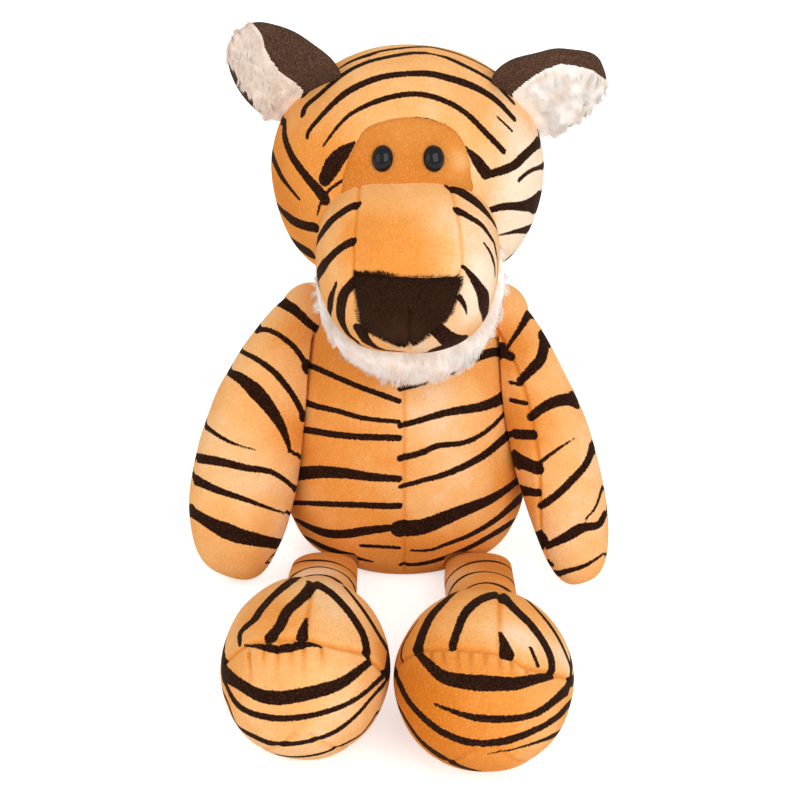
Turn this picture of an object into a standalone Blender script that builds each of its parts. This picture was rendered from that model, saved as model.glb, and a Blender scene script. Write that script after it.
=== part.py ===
"""A sitting plush tiger, built as it is sewn: fabric panels, stuffing, safety eyes and the seams that let it move.

Metres, +Z up. The toy looks along -Y and sits on the XY plane, with the middle of its seat at the origin.
Left and right are the toy's own, so its left side is at +X.
"""

import math

import bmesh
import bpy
import numpy as np
from mathutils import Matrix, Vector

# Fabric and fits
SKIN = 0.0016  # plush fabric with its pile
PATCH = 0.0010  # thin fabric laid over another panel
GAP = 0.0003  # between two pieces that touch
FACET_ROOM = 0.0006  # what flat facets of two unlike grids need between them
SEAM_CLEARANCE = 0.0004  # between a ball of stuffing and its seam ring
SEAM_RING = 0.0014  # thickness of a sewn ring of folded fabric
FLOOR_CUT = 0.0005  # how deep a rounded form is cut flat where it stands
OVERRUN = 0.0040  # how far a cutter runs past what it cuts
TINY = 1e-6

# Torso: rings up a line that leans back, closed by the neck ball
NECK_Z = 0.150
NECK_RADIUS = 0.030
TORSO_HALF_WIDTH = 0.060
TORSO_LEAN = 0.020  # how far back the neck is from the middle of the seat
SEAT_HALF_WIDTH = 0.036
SEAT_HALF_DEPTH = 0.0255
SEAT_THICKNESS = 0.0020
NECK_SEAM_SHARE = 0.80  # share of the torso's rows that lie below the neck ball
NECK_OPENING_SHARE = 0.95
TORSO_WIDTH_SHARES = (
    (0.00, SEAT_HALF_WIDTH / TORSO_HALF_WIDTH),
    (0.05, 0.80),
    (0.13, 0.93),
    (0.28, 1.00),
    (0.45, 0.97),
    (0.62, 0.88),
    (0.78, 0.77),
    (0.90, 0.64),
    (1.00, NECK_RADIUS / TORSO_HALF_WIDTH),
)
TORSO_DEPTH_SHARES = (
    (0.00, SEAT_HALF_DEPTH / SEAT_HALF_WIDTH),
    (0.28, 0.75),
    (0.62, 0.78),
    (0.90, 0.90),
    (1.00, 1.00),
)

# Head: round above its widest ring, with full cheeks below it, over the neck ball
HEAD_X = 0.0016
HEAD_Y = 0.005
NECK_TO_HEAD = 0.054  # from the middle of the neck ball up to the head's widest ring
HEAD_Z = NECK_Z + NECK_TO_HEAD
HEAD_HALF_WIDTH = 0.063
HEAD_HALF_DEPTH = 0.055
HEAD_CROWN_HEIGHT = 0.055
HEAD_CHEEK_HEIGHT = 0.053
HEAD_CHEEK_POWER = 0.56  # under 1 fills out the cheeks

# Snout, nose and beard
SNOUT_FORWARD = 0.050  # from the middle of the head
SNOUT_LOWER = 0.025
SNOUT_Y = HEAD_Y - SNOUT_FORWARD
SNOUT_Z = HEAD_Z - SNOUT_LOWER
SNOUT_HALF_WIDTH = 0.041
SNOUT_HALF_HEIGHT = 0.038
SNOUT_HALF_LENGTH = 0.043
SNOUT_DROP_DEG = 20.0
SNOUT_CORNER_POWER = 0.78  # under 1 fills the corners of its cross-section
SNOUT_START_SHARE = 0.12
NOSE_START_SHARE = 0.81
BRIDGE_TURN_SHARES = (0.155, 0.345)
BEARD_HALF_DEPTH = 0.009
BEARD_SIDE_WIDTH = 0.003  # how far it stands out beside the snout
BEARD_CHIN_WIDTH = 0.024  # and below the chin
BEARD_START_DEG = 188.0
BEARD_END_DEG = 376.0
BEARD_SINK = 0.006  # how far its inner edge lies within the snout's outline
BEARD_SET_BACK = 0.004  # from the middle of the snout to the middle of the beard

# Face patch: shares of the head's rows and of its turn
PATCH_ROW_SHARES = (0.54, 0.74)
PATCH_TURN_SHARES = (0.665, 0.835)

# Eyes
EYE_HALF_WIDTH = 0.0045
EYE_HALF_HEIGHT = 0.0055
EYE_BULGE = 0.0034
EYE_SPREAD = 0.0115  # from the middle of the face to each eye
EYE_HIGHER = 0.024  # above the middle of the head
EYE_Z = HEAD_Z + EYE_HIGHER
SHANK_RADIUS = 0.0020
SHANK_LENGTH = 0.0100
WASHER_RADIUS = 0.0058
WASHER_THICKNESS = 0.0012

# Ears: the left one stands lower and further out than the right one
LEFT_EAR_SPREAD = 0.0500
LEFT_EAR_LEAN_DEG = 69.0  # how far the ear leans out from upright
RIGHT_EAR_SPREAD = 0.0460
RIGHT_EAR_LEAN_DEG = 47.0
EAR_FORWARD = 0.0035  # from the middle of the head
EAR_Y = HEAD_Y - EAR_FORWARD
EAR_LENGTH = 0.041
EAR_HALF_WIDTH = 0.0300
EAR_HALF_THICKNESS = 0.0115
EAR_ROOT_RADIUS = 0.0055
EAR_FACE_DEG = 24.0  # how far its furry side is turned out from straight ahead
EAR_FUR = 0.0025
EAR_FOLD_DEG = 6.0  # how far the groove in the head lets the ear fold each way
EAR_ROOT_WRAP = 0.0090  # how far the ends of its root reach down the round of the head
EAR_UPPER_SHARES = ((0.0, 0.92), (0.25, 0.83), (0.5, 0.70), (0.75, 0.65), (1.0, 0.60))
EAR_LOWER_SHARES = ((0.0, 1.05), (0.25, 1.02), (0.5, 0.93), (0.75, 0.80), (1.0, 0.62))

# Arms: teardrops from the shoulder ball to the paw, which differ because the left one is turned in
SHOULDER_X = 0.0455
SHOULDER_Y = 0.0165
SHOULDER_Z = 0.122
SHOULDER_RADIUS = 0.0145
ARM_DEPTH_SHARE = 0.86
ARM_TAPER_POWER = 0.54  # under 1 makes the upper arm stouter
ARM_FULL_POWER = 0.66  # under 1 fills out both ends of the arm
RIGHT_ARM_BOW = 0.0075  # how far the middle of the arm bends outward
LEFT_ARM_BOW = 0.0045
RIGHT_PAW = Vector((-0.0765, -0.0230, 0.0310))
RIGHT_PAW_RADIUS = 0.0300
LEFT_PAW = Vector((0.0805, -0.0330, 0.0250))
LEFT_PAW_RADIUS = 0.0220
ARM_SIDE_CLEARANCE = 0.0025  # both sides are faceted, so this is 0.3 mm or more in the end

# Legs: tubes sewn flat at the hip, which round out to the ankle ball
HIP_Y = -0.0343
HIP_Z = 0.0095
HIP_HALF_HEIGHT = 0.0075
HIP_HALF_WIDTH = 0.0160
LEG_SWELL = 0.0012  # how much wider the middle of the leg is
ANKLE_Z = 0.0260
ANKLE_RADIUS = 0.0145
RIGHT_LEG_X = -0.0388
LEFT_LEG_X = 0.0360
RIGHT_ANKLE_Y = -0.1030
LEFT_ANKLE_Y = -0.1120

# Feet: bulbs with gathered toes, cut flat where they stand. Each starts at its ankle ball.
FOOT_HALF_HEIGHT = 0.0365
FOOT_HALF_LENGTH = 0.0500
FOOT_FULL_POWER = 0.84  # under 1 fills out both ends of the foot
FOOT_BACK_TAPER_SHARE = 0.22  # how much narrower the foot is at the ankle
RIGHT_FOOT_X = -0.0430
RIGHT_FOOT_HALF_WIDTH = 0.0385
LEFT_FOOT_X = 0.0340
LEFT_FOOT_HALF_WIDTH = 0.0405
TOE_SEAM_SHARE = 0.67
SOLE_TURN_SHARES = (0.64, 0.86)
SOLE_START_SHARE = 0.25  # where the sole starts behind, as a share of the foot's rows

# Tail: lies on the floor behind the seat and curls to the left
TAIL_ROOT_Y = 0.0480
TAIL_RADIUS = 0.0086
TAIL_ROOT_RADIUS = 0.0095
TAIL_LENGTH = 0.150
TAIL_CURL_DEG = 62.0
TAIL_END_SHARE = 0.12  # share of its rows in each round end
TAIL_TIP_SHARE = 0.78
TAIL_TAPER_SHARE = 0.13  # share of its length in which it thins from the root's radius
TAIL_RISE = 0.0009  # clearance under the tail

# Seam rings: the angles from the joint's inner pole that each one spans
NECK_RING_DEG = (28.0, 58.0)
SHOULDER_RING_DEG = (25.0, 62.0)
TAIL_RING_DEG = (25.0, 60.0)

# Colours (linear) and how rough each material is
ORANGE = (0.62, 0.24, 0.05)
DEEP_ORANGE = (0.47, 0.15, 0.03)
BROWN = (0.045, 0.022, 0.014)
WHITE_FUR = (0.78, 0.74, 0.68)
FILLING = (0.85, 0.85, 0.83)
EYE_BLACK = (0.006, 0.005, 0.005)
WASHER_WHITE = (0.70, 0.70, 0.68)
SEAM_TAPE = (0.40, 0.14, 0.04)
PLUSH_ROUGHNESS = 0.95
PLASTIC_ROUGHNESS = 0.45
GLOSS_ROUGHNESS = 0.06

# Faceting: how many flat strips a form has along it and round it
CUTTER_ROWS = 16
CUTTER_COLUMNS = 32
BALL_SEGMENTS = 16
RING_SEGMENTS = 24
EYE_SEGMENTS = 12
EYE_ROWS = 4
TORSO_ROWS = 8
NECK_ROWS = 3
TORSO_COLUMNS = 4
HEAD_ROWS = 10
HEAD_COLUMNS = 10
PATCH_ROWS = 3
PATCH_COLUMNS = 4
SNOUT_ROWS = 6
SNOUT_COLUMNS = 5
BRIDGE_COLUMNS = 3
NOSE_ROWS = 3
BEARD_ROWS = 12
BEARD_COLUMNS = 6
EAR_ROWS = 6
EAR_COLUMNS = 5
UPPER_ARM_ROWS = 6
PAW_ROWS = 5
ARM_COLUMNS = 5
LEG_ROWS = 6
LEG_COLUMNS = 12
INSTEP_ROWS = 5
TOE_ROWS = 4
INSTEP_COLUMNS = 4
SOLE_COLUMNS = 4
TAIL_ROWS = 8
TAIL_TIP_ROWS = 4
TAIL_COLUMNS = 8
TORSO_TURN = 4 * TORSO_COLUMNS
NORMAL_SAMPLES = 8
TURN = 2.0 * math.pi
QUARTER = 0.5 * math.pi
STEP = 1e-4  # step in u and v for a form's normals


def clear_scene():
    for obj in list(bpy.data.objects):
        bpy.data.objects.remove(obj, do_unlink=True)


def unit(vectors):
    lengths = np.linalg.norm(vectors, axis=-1, keepdims=True)
    return vectors / np.maximum(lengths, TINY * TINY)


def smooth(shares, value):
    """Reads a table of (place, size) with a smooth curve through its points."""
    places = np.array([row[0] for row in shares])
    sizes = np.array([row[1] for row in shares])
    slopes = np.gradient(sizes, places)
    index = int(np.clip(np.searchsorted(places, value) - 1, 0, len(places) - 2))
    span = places[index + 1] - places[index]
    t = float(np.clip((value - places[index]) / span, 0.0, 1.0))
    start = (1 + 2 * t) * (1 - t) ** 2 * sizes[index] + t * (1 - t) ** 2 * slopes[index] * span
    end = t * t * (3 - 2 * t) * sizes[index + 1] + t * t * (t - 1) * slopes[index + 1] * span
    return float(start + end)


def ease(value):
    value = min(max(value, 0.0), 1.0)
    return value * value * (3.0 - 2.0 * value)


def powered(value, power):
    """A sine or cosine raised to a power that keeps its sign. A power under 1 fills out a section's corners."""
    return math.copysign(abs(value) ** power, value)


def shares(*stops):
    """Even shares through stops: shares(0, 4, 0.5, 2, 1) goes from 0 to 0.5 in 4 steps and on to 1 in 2."""
    found = [stops[0]]
    for count, end in zip(stops[1::2], stops[2::2]):
        start = found[-1]
        found += [start + (end - start) * step / count for step in range(1, count + 1)]
    return found


# Forms: each takes a share u along its length and a share v of its turn, and gives a point


def torso_sizes(height):
    share = height / NECK_Z
    width = TORSO_HALF_WIDTH * smooth(TORSO_WIDTH_SHARES, share)
    return width, width * smooth(TORSO_DEPTH_SHARES, share), TORSO_LEAN * share


def torso(u, v):
    if u < NECK_SEAM_SHARE:
        height = NECK_Z * u / NECK_SEAM_SHARE
        width, depth, lean = torso_sizes(height)
    else:
        bend = QUARTER * (u - NECK_SEAM_SHARE) / (1.0 - NECK_SEAM_SHARE)
        height = NECK_Z + NECK_RADIUS * math.sin(bend)
        width = depth = NECK_RADIUS * math.cos(bend)
        lean = TORSO_LEAN
    return (width * math.cos(TURN * v), lean + depth * math.sin(TURN * v), height)


def torso_side(y, z):
    """How far out the torso's side is at this depth and height, or 0 past its front or back."""
    width, depth, lean = torso_sizes(min(max(z, 0.0), NECK_Z))
    inside = 1.0 - ((y - lean) / depth) ** 2
    return width * math.sqrt(inside) if inside > 0 else 0.0


def head(u, v):
    bend = math.pi * (u - 0.5)
    height = HEAD_CROWN_HEIGHT if bend > 0 else HEAD_CHEEK_HEIGHT
    across = max(math.cos(bend), 0.0) ** (1.0 if bend > 0 else HEAD_CHEEK_POWER)
    return (
        HEAD_X + HEAD_HALF_WIDTH * across * math.cos(TURN * v),
        HEAD_Y + HEAD_HALF_DEPTH * across * math.sin(TURN * v),
        HEAD_Z + height * math.sin(bend),
    )


def crown_front_y(x, z):
    """Where the front of the head lies at this width and height, above its widest ring."""
    inside = 1.0 - ((x - HEAD_X) / HEAD_HALF_WIDTH) ** 2 - ((z - HEAD_Z) / HEAD_CROWN_HEIGHT) ** 2
    return HEAD_Y - HEAD_HALF_DEPTH * math.sqrt(max(inside, 0.0))


def snout(u, v):
    """Rings square to the snout's own axis, from inside the head to the tip of the nose."""
    drop = math.radians(SNOUT_DROP_DEG)
    along = Vector((0.0, -math.cos(drop), -math.sin(drop)))
    up = Vector((0.0, -math.sin(drop), math.cos(drop)))
    bend = math.pi * u
    across = max(math.sin(bend), 0.0) ** SNOUT_CORNER_POWER
    side = SNOUT_HALF_WIDTH * across * powered(math.cos(TURN * v), SNOUT_CORNER_POWER)
    rise = SNOUT_HALF_HEIGHT * across * powered(math.sin(TURN * v), SNOUT_CORNER_POWER)
    centre = Vector((HEAD_X, SNOUT_Y, SNOUT_Z))
    place = centre - along * SNOUT_HALF_LENGTH * math.cos(bend) + up * rise
    return (place.x + side, place.y, place.z)


def beard(u, v):
    """A crescent round the lower half of the snout, thickest under the chin."""
    angle = math.radians(BEARD_START_DEG + (BEARD_END_DEG - BEARD_START_DEG) * u)
    swell = max(math.sin(math.pi * u), 0.0) ** 0.6
    below = 0.5 - 0.5 * math.sin(angle)
    width = BEARD_SIDE_WIDTH + (BEARD_CHIN_WIDTH - BEARD_SIDE_WIDTH) * below ** 3
    half = 0.5 * (width + BEARD_SINK) * swell
    out = 0.5 * (width - BEARD_SINK) + half * math.cos(TURN * v)
    return (
        HEAD_X + (SNOUT_HALF_WIDTH + out) * math.cos(angle),
        SNOUT_Y + BEARD_SET_BACK + BEARD_HALF_DEPTH * swell * math.sin(TURN * v),
        SNOUT_Z + (SNOUT_HALF_HEIGHT + out) * math.sin(angle),
    )


def ear_frame(side, spread, lean_deg):
    """The ear's root on the head, then its length, width and furry-side directions."""
    inside = 1.0 - (spread / HEAD_HALF_WIDTH) ** 2 - ((EAR_Y - HEAD_Y) / HEAD_HALF_DEPTH) ** 2
    root = Vector((HEAD_X + side * spread, EAR_Y, HEAD_Z + HEAD_CROWN_HEIGHT * math.sqrt(inside)))
    lean = math.radians(lean_deg)
    face = math.radians(EAR_FACE_DEG)
    length = Vector((side * math.sin(lean), 0.0, math.cos(lean)))
    outward = Vector((side * math.cos(lean), 0.0, -math.sin(lean)))
    fur = Vector((0.0, -math.cos(face), 0.0)) + outward * math.sin(face)
    return root, length, length.cross(fur), fur


def ear(frame, side, room=0.0, fold=0.0):
    """A leaf, fuller below, whose root wraps the round of the head. Its groove has room round it and to fold."""
    root, length, wide, fur = frame

    def form(u, v):
        bend = math.pi * u
        share = 0.5 * (1.0 - math.cos(bend))
        across = max(math.sin(bend), 0.0) ** 0.7
        turn = math.cos(TURN * v)
        width_shares = EAR_LOWER_SHARES if turn * side > 0 else EAR_UPPER_SHARES
        half_width = (EAR_HALF_WIDTH + room + fold * EAR_ROOT_RADIUS) * across * smooth(width_shares, share)
        swell = (EAR_HALF_THICKNESS - EAR_ROOT_RADIUS) * math.sin(math.pi * share)
        half_thickness = (EAR_ROOT_RADIUS + room + swell) * across
        place = (EAR_LENGTH + EAR_ROOT_RADIUS) * share - EAR_ROOT_RADIUS - room
        place -= EAR_ROOT_WRAP * across * (1.0 - share) ** 2 * turn ** 2 + fold * half_width * abs(turn)
        point = root + length * place
        point += wide * half_width * turn + fur * half_thickness * math.sin(TURN * v)
        return tuple(point)

    return form


def arm(side, paw, paw_radius, bow, inset=0.0):
    """A teardrop from the shoulder ball to the paw, pressed flat where it lies along the torso."""
    shoulder = Vector((side * SHOULDER_X, SHOULDER_Y, SHOULDER_Z))
    along = (paw - shoulder).normalized()
    reach = (paw - shoulder).length
    wide = Vector((0.0, -1.0, 0.0)).cross(along).normalized() * side
    if wide.x * side < 0:
        wide = -wide
    deep = along.cross(wide).normalized()
    root_radius = SHOULDER_RADIUS - inset
    tip_radius = paw_radius - inset

    def form(u, v):
        share = 0.5 * (1.0 - math.cos(math.pi * u))
        swell = max(math.sin(math.pi * u), 0.0) ** ARM_FULL_POWER
        radius = (root_radius + (tip_radius - root_radius) * share ** ARM_TAPER_POWER) * swell
        point = shoulder + along * ((reach + root_radius + tip_radius) * share - root_radius)
        point += wide * bow * math.sin(math.pi * share)
        point += wide * radius * math.cos(TURN * v)
        point += deep * radius * ARM_DEPTH_SHARE * math.sin(TURN * v)
        limit = torso_side(point.y, point.z) + ARM_SIDE_CLEARANCE + inset
        past_ball = ease(share * (reach + root_radius + tip_radius) / root_radius - 1.0)
        pressed = max(limit - side * point.x, 0.0)
        point.x += side * pressed * past_ball
        return tuple(point)

    return form


def leg(hip, ankle):
    """A tube that is flat where it is sewn to the torso and ends in the ankle ball."""
    along = (ankle - hip).normalized()
    wide = along.cross(Vector((0.0, 0.0, 1.0))).normalized()
    up = wide.cross(along)
    reach = (ankle - hip).length

    def form(u, v):
        if u < 0.25:
            bend = QUARTER * u / 0.25
            place = -HIP_HALF_HEIGHT * math.cos(bend)
            height = HIP_HALF_HEIGHT * math.sin(bend)
            width = HIP_HALF_WIDTH * max(math.sin(bend), 0.0) ** 0.4
        elif u > 0.75:
            bend = QUARTER * (u - 0.75) / 0.25
            place = reach + ANKLE_RADIUS * math.sin(bend)
            width = height = ANKLE_RADIUS * math.cos(bend)
        else:
            share = (u - 0.25) / 0.5
            place = reach * share
            height = HIP_HALF_HEIGHT + (ANKLE_RADIUS - HIP_HALF_HEIGHT) * ease(1.2 * share)
            width = HIP_HALF_WIDTH + (ANKLE_RADIUS - HIP_HALF_WIDTH) * ease(share)
            width += LEG_SWELL * math.sin(math.pi * share)
        point = hip + along * place
        point += wide * width * math.cos(TURN * v) + up * height * math.sin(TURN * v)
        return tuple(point)

    return form


def foot(middle_x, ankle_y, half_width):
    """A bulb that starts at the ankle, swells to the toes and is cut flat below."""
    full_z = FOOT_HALF_HEIGHT - FLOOR_CUT

    def form(u, v):
        share = 0.5 * (1.0 - math.cos(math.pi * u))
        across = max(math.sin(math.pi * u), 0.0) ** FOOT_FULL_POWER
        middle_z = ANKLE_Z + (full_z - ANKLE_Z) * ease(2.0 * share)
        taper = 1.0 - FOOT_BACK_TAPER_SHARE * (1.0 - share) ** 2
        x = middle_x + half_width * across * taper * math.cos(TURN * v)
        y = ankle_y - 2.0 * FOOT_HALF_LENGTH * share
        z = middle_z + FOOT_HALF_HEIGHT * across * math.sin(TURN * v)
        return (x, y, max(z, 0.0))

    return form


def tail(u, v):
    """A round-ended tube along the floor whose line curls to the left."""
    curl = math.radians(TAIL_CURL_DEG)
    turn_radius = TAIL_LENGTH / curl
    share = min(max((u - TAIL_END_SHARE) / (1.0 - 2.0 * TAIL_END_SHARE), 0.0), 1.0)
    angle = curl * share
    radius = TAIL_ROOT_RADIUS + (TAIL_RADIUS - TAIL_ROOT_RADIUS) * ease(share / TAIL_TAPER_SHARE)
    along = Vector((math.sin(angle), math.cos(angle), 0.0))
    side = Vector((math.cos(angle), -math.sin(angle), 0.0))
    centre = Vector((
        turn_radius * (1.0 - math.cos(angle)),
        TAIL_ROOT_Y + turn_radius * math.sin(angle),
        TAIL_RISE + TAIL_ROOT_RADIUS,
    ))
    past_end = max(TAIL_END_SHARE - u, u - 1.0 + TAIL_END_SHARE, 0.0) / TAIL_END_SHARE
    outward = -1.0 if u < 0.5 else 1.0
    centre += along * outward * radius * math.sin(QUARTER * past_end)
    ring = radius * math.cos(QUARTER * past_end)
    point = centre + side * ring * math.cos(TURN * v)
    return (point.x, point.y, point.z + ring * math.sin(TURN * v))


def raised(form, height):
    """The same form with its surface moved out."""

    def lifted(u, v):
        return tuple(np.add(form(u, v), normal_at(form, u, v) * height))

    return lifted


# Meshes


def normal_at(form, u, v):
    u = min(max(u, STEP), 1.0 - STEP)
    along = np.subtract(form(u + STEP, v), form(u - STEP, v))
    around = np.subtract(form(u, v + STEP), form(u, v - STEP))
    normal = unit(np.cross(around, along))
    middle = np.mean([form(u, k / NORMAL_SAMPLES) for k in range(NORMAL_SAMPLES)], axis=0)
    return normal if np.dot(normal, np.subtract(form(u, v), middle)) >= 0 else -normal


def grid(form, us, vs, inset=0.0):
    """Rows of points on the form, moved in by inset. A pole's points fall together."""
    points = np.array([[form(u, v) for v in vs] for u in us])
    if inset == 0.0:
        return points
    for row, u in enumerate(us):
        if np.ptp(points[row], axis=0).max() < 10 * TINY:
            beside = us[1] if row == 0 else us[-2]
            middle = np.mean([form(beside, k / NORMAL_SAMPLES) for k in range(NORMAL_SAMPLES)], axis=0)
            points[row] += unit(middle - points[row]) * inset
        else:
            points[row] -= np.array([normal_at(form, u, v) for v in vs]) * inset
    return points


def trimmed(points, edges):
    """Moves the named edges of a grid, and any pole in it, in by half the gap between two panels."""
    middle = points.shape[1] // 2
    moved = points.copy()
    lines = {
        "start": (np.s_[0, :], np.s_[1, :]),
        "end": (np.s_[-1, :], np.s_[-2, :]),
        "low": (np.s_[:, 0], np.s_[:, 1]),
        "high": (np.s_[:, -1], np.s_[:, -2]),
    }
    for edge in edges:
        line, beside = lines[edge]
        moved[line] += unit(points[beside] - points[line]) * 0.5 * GAP
    for row, beside in ((0, 1), (-1, -2)):
        if np.ptp(points[row], axis=0).max() < 10 * TINY:
            moved[row] = points[row] + unit(points[beside, middle] - points[row, middle]) * 0.5 * GAP
    return moved


def skin_between(outer, inner, closed):
    """One closed body between an outer and an inner grid, with rims where the grids end."""
    bm = bmesh.new()
    rows, columns = outer.shape[0], outer.shape[1]
    outside = [[bm.verts.new(outer[r, c]) for c in range(columns)] for r in range(rows)]
    inside = [[bm.verts.new(inner[r, c]) for c in range(columns)] for r in range(rows)]
    for r in range(rows - 1):
        for c in range(columns - 1):
            bm.faces.new((outside[r][c], outside[r][c + 1], outside[r + 1][c + 1], outside[r + 1][c]))
            bm.faces.new((inside[r][c], inside[r + 1][c], inside[r + 1][c + 1], inside[r][c + 1]))
    for c in range(columns - 1):
        bm.faces.new((outside[0][c], inside[0][c], inside[0][c + 1], outside[0][c + 1]))
        bm.faces.new((outside[-1][c], outside[-1][c + 1], inside[-1][c + 1], inside[-1][c]))
    if not closed:
        for r in range(rows - 1):
            bm.faces.new((outside[r][0], outside[r + 1][0], inside[r + 1][0], inside[r][0]))
            bm.faces.new((outside[r][-1], inside[r][-1], inside[r + 1][-1], outside[r + 1][-1]))
    return cleaned(bm)


def cleaned(bm):
    bmesh.ops.remove_doubles(bm, verts=bm.verts[:], dist=TINY)
    bmesh.ops.dissolve_degenerate(bm, edges=bm.edges[:], dist=TINY)
    bmesh.ops.recalc_face_normals(bm, faces=bm.faces[:])
    return bm


def panel(form, us, vs, edges, depth=SKIN, inner_form=None):
    """A piece of fabric: a part of a form's surface, as thick as the fabric."""
    inner = grid(inner_form, us, vs) if inner_form else grid(form, us, vs, depth)
    return skin_between(trimmed(grid(form, us, vs), edges), trimmed(inner, edges), False)


def sleeve(form, us, count, edges=()):
    """A tube of fabric: all the way round a form, open where it stops short of a pole."""
    grids = [grid(form, us, shares(0, count, 1)), grid(form, us, shares(0, count, 1), SKIN)]
    for points in grids:
        for edge, line, beside in (("start", 0, 1), ("end", -1, -2)):
            if edge in edges:
                points[line] += unit(points[beside] - points[line]) * 0.5 * GAP
    return skin_between(*grids, True)


def solid(form, inset, us, vs):
    """A closed body whose surface lies inset from the form's. vs go once round, without their first again."""
    bm = bmesh.new()
    rings = [[bm.verts.new(point) for point in row] for row in grid(form, us, vs, inset)]
    count = len(vs)
    for low, high in zip(rings, rings[1:]):
        for c in range(count):
            d = (c + 1) % count
            bm.faces.new((low[c], low[d], high[d], high[c]))
    bm.faces.new(rings[0])
    bm.faces.new(rings[-1])
    return cleaned(bm)


def round_solid(form, inset, rows, columns):
    return solid(form, inset, shares(0, rows, 1), shares(0, columns, 1)[:-1])


def turned(profile, segments, place):
    """A turned body from rows of (height, half width, half depth), closed at both ends, then placed."""
    bm = bmesh.new()
    rings = []
    for height, wide, deep in profile:
        angles = [TURN * k / segments for k in range(segments)]
        rings.append([bm.verts.new((wide * math.cos(a), deep * math.sin(a), height)) for a in angles])
    for low, high in zip(rings, rings[1:]):
        for k in range(segments):
            m = (k + 1) % segments
            bm.faces.new((low[k], low[m], high[m], high[k]))
    bm.faces.new(rings[0])
    bm.faces.new(rings[-1])
    bmesh.ops.transform(bm, matrix=place, verts=bm.verts[:])
    return cleaned(bm)


def straight(low, high, radius):
    """The profile of a plain disc or rod."""
    return [(low, radius, radius), (high, radius, radius)]


def ring_zone(centre, axis, inner_radius, outer_radius, from_deg, to_deg):
    """A zone of a thick sphere: a ring of folded fabric that can turn about its own centre any way."""
    bm = bmesh.new()
    middle_deg = 0.5 * (from_deg + to_deg)
    corners = [(degrees, outer_radius) for degrees in (from_deg, middle_deg, to_deg)]
    corners += [(degrees, inner_radius) for degrees in (to_deg, middle_deg, from_deg)]
    loops = []
    for degrees, radius in corners:
        height = radius * math.cos(math.radians(degrees))
        wide = radius * math.sin(math.radians(degrees))
        angles = [TURN * k / RING_SEGMENTS for k in range(RING_SEGMENTS)]
        loops.append([bm.verts.new((wide * math.cos(a), wide * math.sin(a), height)) for a in angles])
    for first, second in zip(loops, loops[1:] + loops[:1]):
        for k in range(RING_SEGMENTS):
            m = (k + 1) % RING_SEGMENTS
            bm.faces.new((first[k], first[m], second[m], second[k]))
    place = Matrix.Translation(centre) @ axis.to_track_quat("Z", "Y").to_matrix().to_4x4()
    bmesh.ops.transform(bm, matrix=place, verts=bm.verts[:])
    return cleaned(bm)


def ball(centre, radius):
    bm = bmesh.new()
    bmesh.ops.create_uvsphere(bm, u_segments=BALL_SEGMENTS, v_segments=BALL_SEGMENTS // 2, radius=radius)
    bmesh.ops.translate(bm, vec=centre, verts=bm.verts[:])
    return cleaned(bm)


def round_ball(radius, segments):
    """The radius of a faceted ball whose flats, not its corners, lie at this radius."""
    return radius / math.cos(math.pi / segments) ** 2


def ring_radius(radius):
    """The inner radius of the seam ring on a ball."""
    return round_ball(radius + SEAM_CLEARANCE, RING_SEGMENTS)


def pocket_radius(radius):
    """The pocket round a ball that has a seam ring on it."""
    return round_ball(ring_radius(radius) + SEAM_RING + GAP, BALL_SEGMENTS)


# Objects

PIVOTS = {}
MATERIALS = {}


def link(obj):
    bpy.context.scene.collection.objects.link(obj)
    return obj


def body(name, pivot, parent=None):
    """An empty on the joint that its pieces turn about, carried by the body before it."""
    empty = link(bpy.data.objects.new(name, None))
    empty.parent = parent
    empty.location = pivot - PIVOTS[parent.name] if parent else pivot
    PIVOTS[name] = pivot
    return empty


def material(name, colour, roughness):
    if name not in MATERIALS:
        made = bpy.data.materials.new(name)
        made.use_nodes = True
        shader = made.node_tree.nodes["Principled BSDF"]
        shader.inputs["Base Color"].default_value = (*colour, 1.0)
        shader.inputs["Roughness"].default_value = roughness
        shader.inputs["Metallic"].default_value = 0.0
        MATERIALS[name] = made
    return MATERIALS[name]


def mesh_object(name, bm):
    mesh = bpy.data.meshes.new(name)
    bm.to_mesh(mesh)
    bm.free()
    return link(bpy.data.objects.new(name, mesh))


def piece(name, bm, colour, owner, roughness=PLUSH_ROUGHNESS):
    """A named piece with a material of its own, whose origin is its body's pivot."""
    bmesh.ops.translate(bm, vec=-PIVOTS[owner.name], verts=bm.verts[:])
    obj = mesh_object(name, bm)
    obj.data.shade_smooth()
    obj.data.materials.append(material(name, colour, roughness))
    obj.parent = owner
    return obj


def cutter(name, bm):
    obj = mesh_object(name, bm)
    obj.hide_render = True
    obj.display_type = "WIRE"
    return obj


def cut(targets, tool):
    for target in targets:
        modifier = target.modifiers.new("cut by " + tool.name, "BOOLEAN")
        modifier.operation = "DIFFERENCE"
        modifier.solver = "EXACT"
        modifier.object = tool


def seam_ring(name, centre, axis, radius, span_deg, owner):
    low = ring_radius(radius)
    return piece(name, ring_zone(centre, axis, low, low + SEAM_RING, *span_deg), SEAM_TAPE, owner)


# Sub-parts


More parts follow.
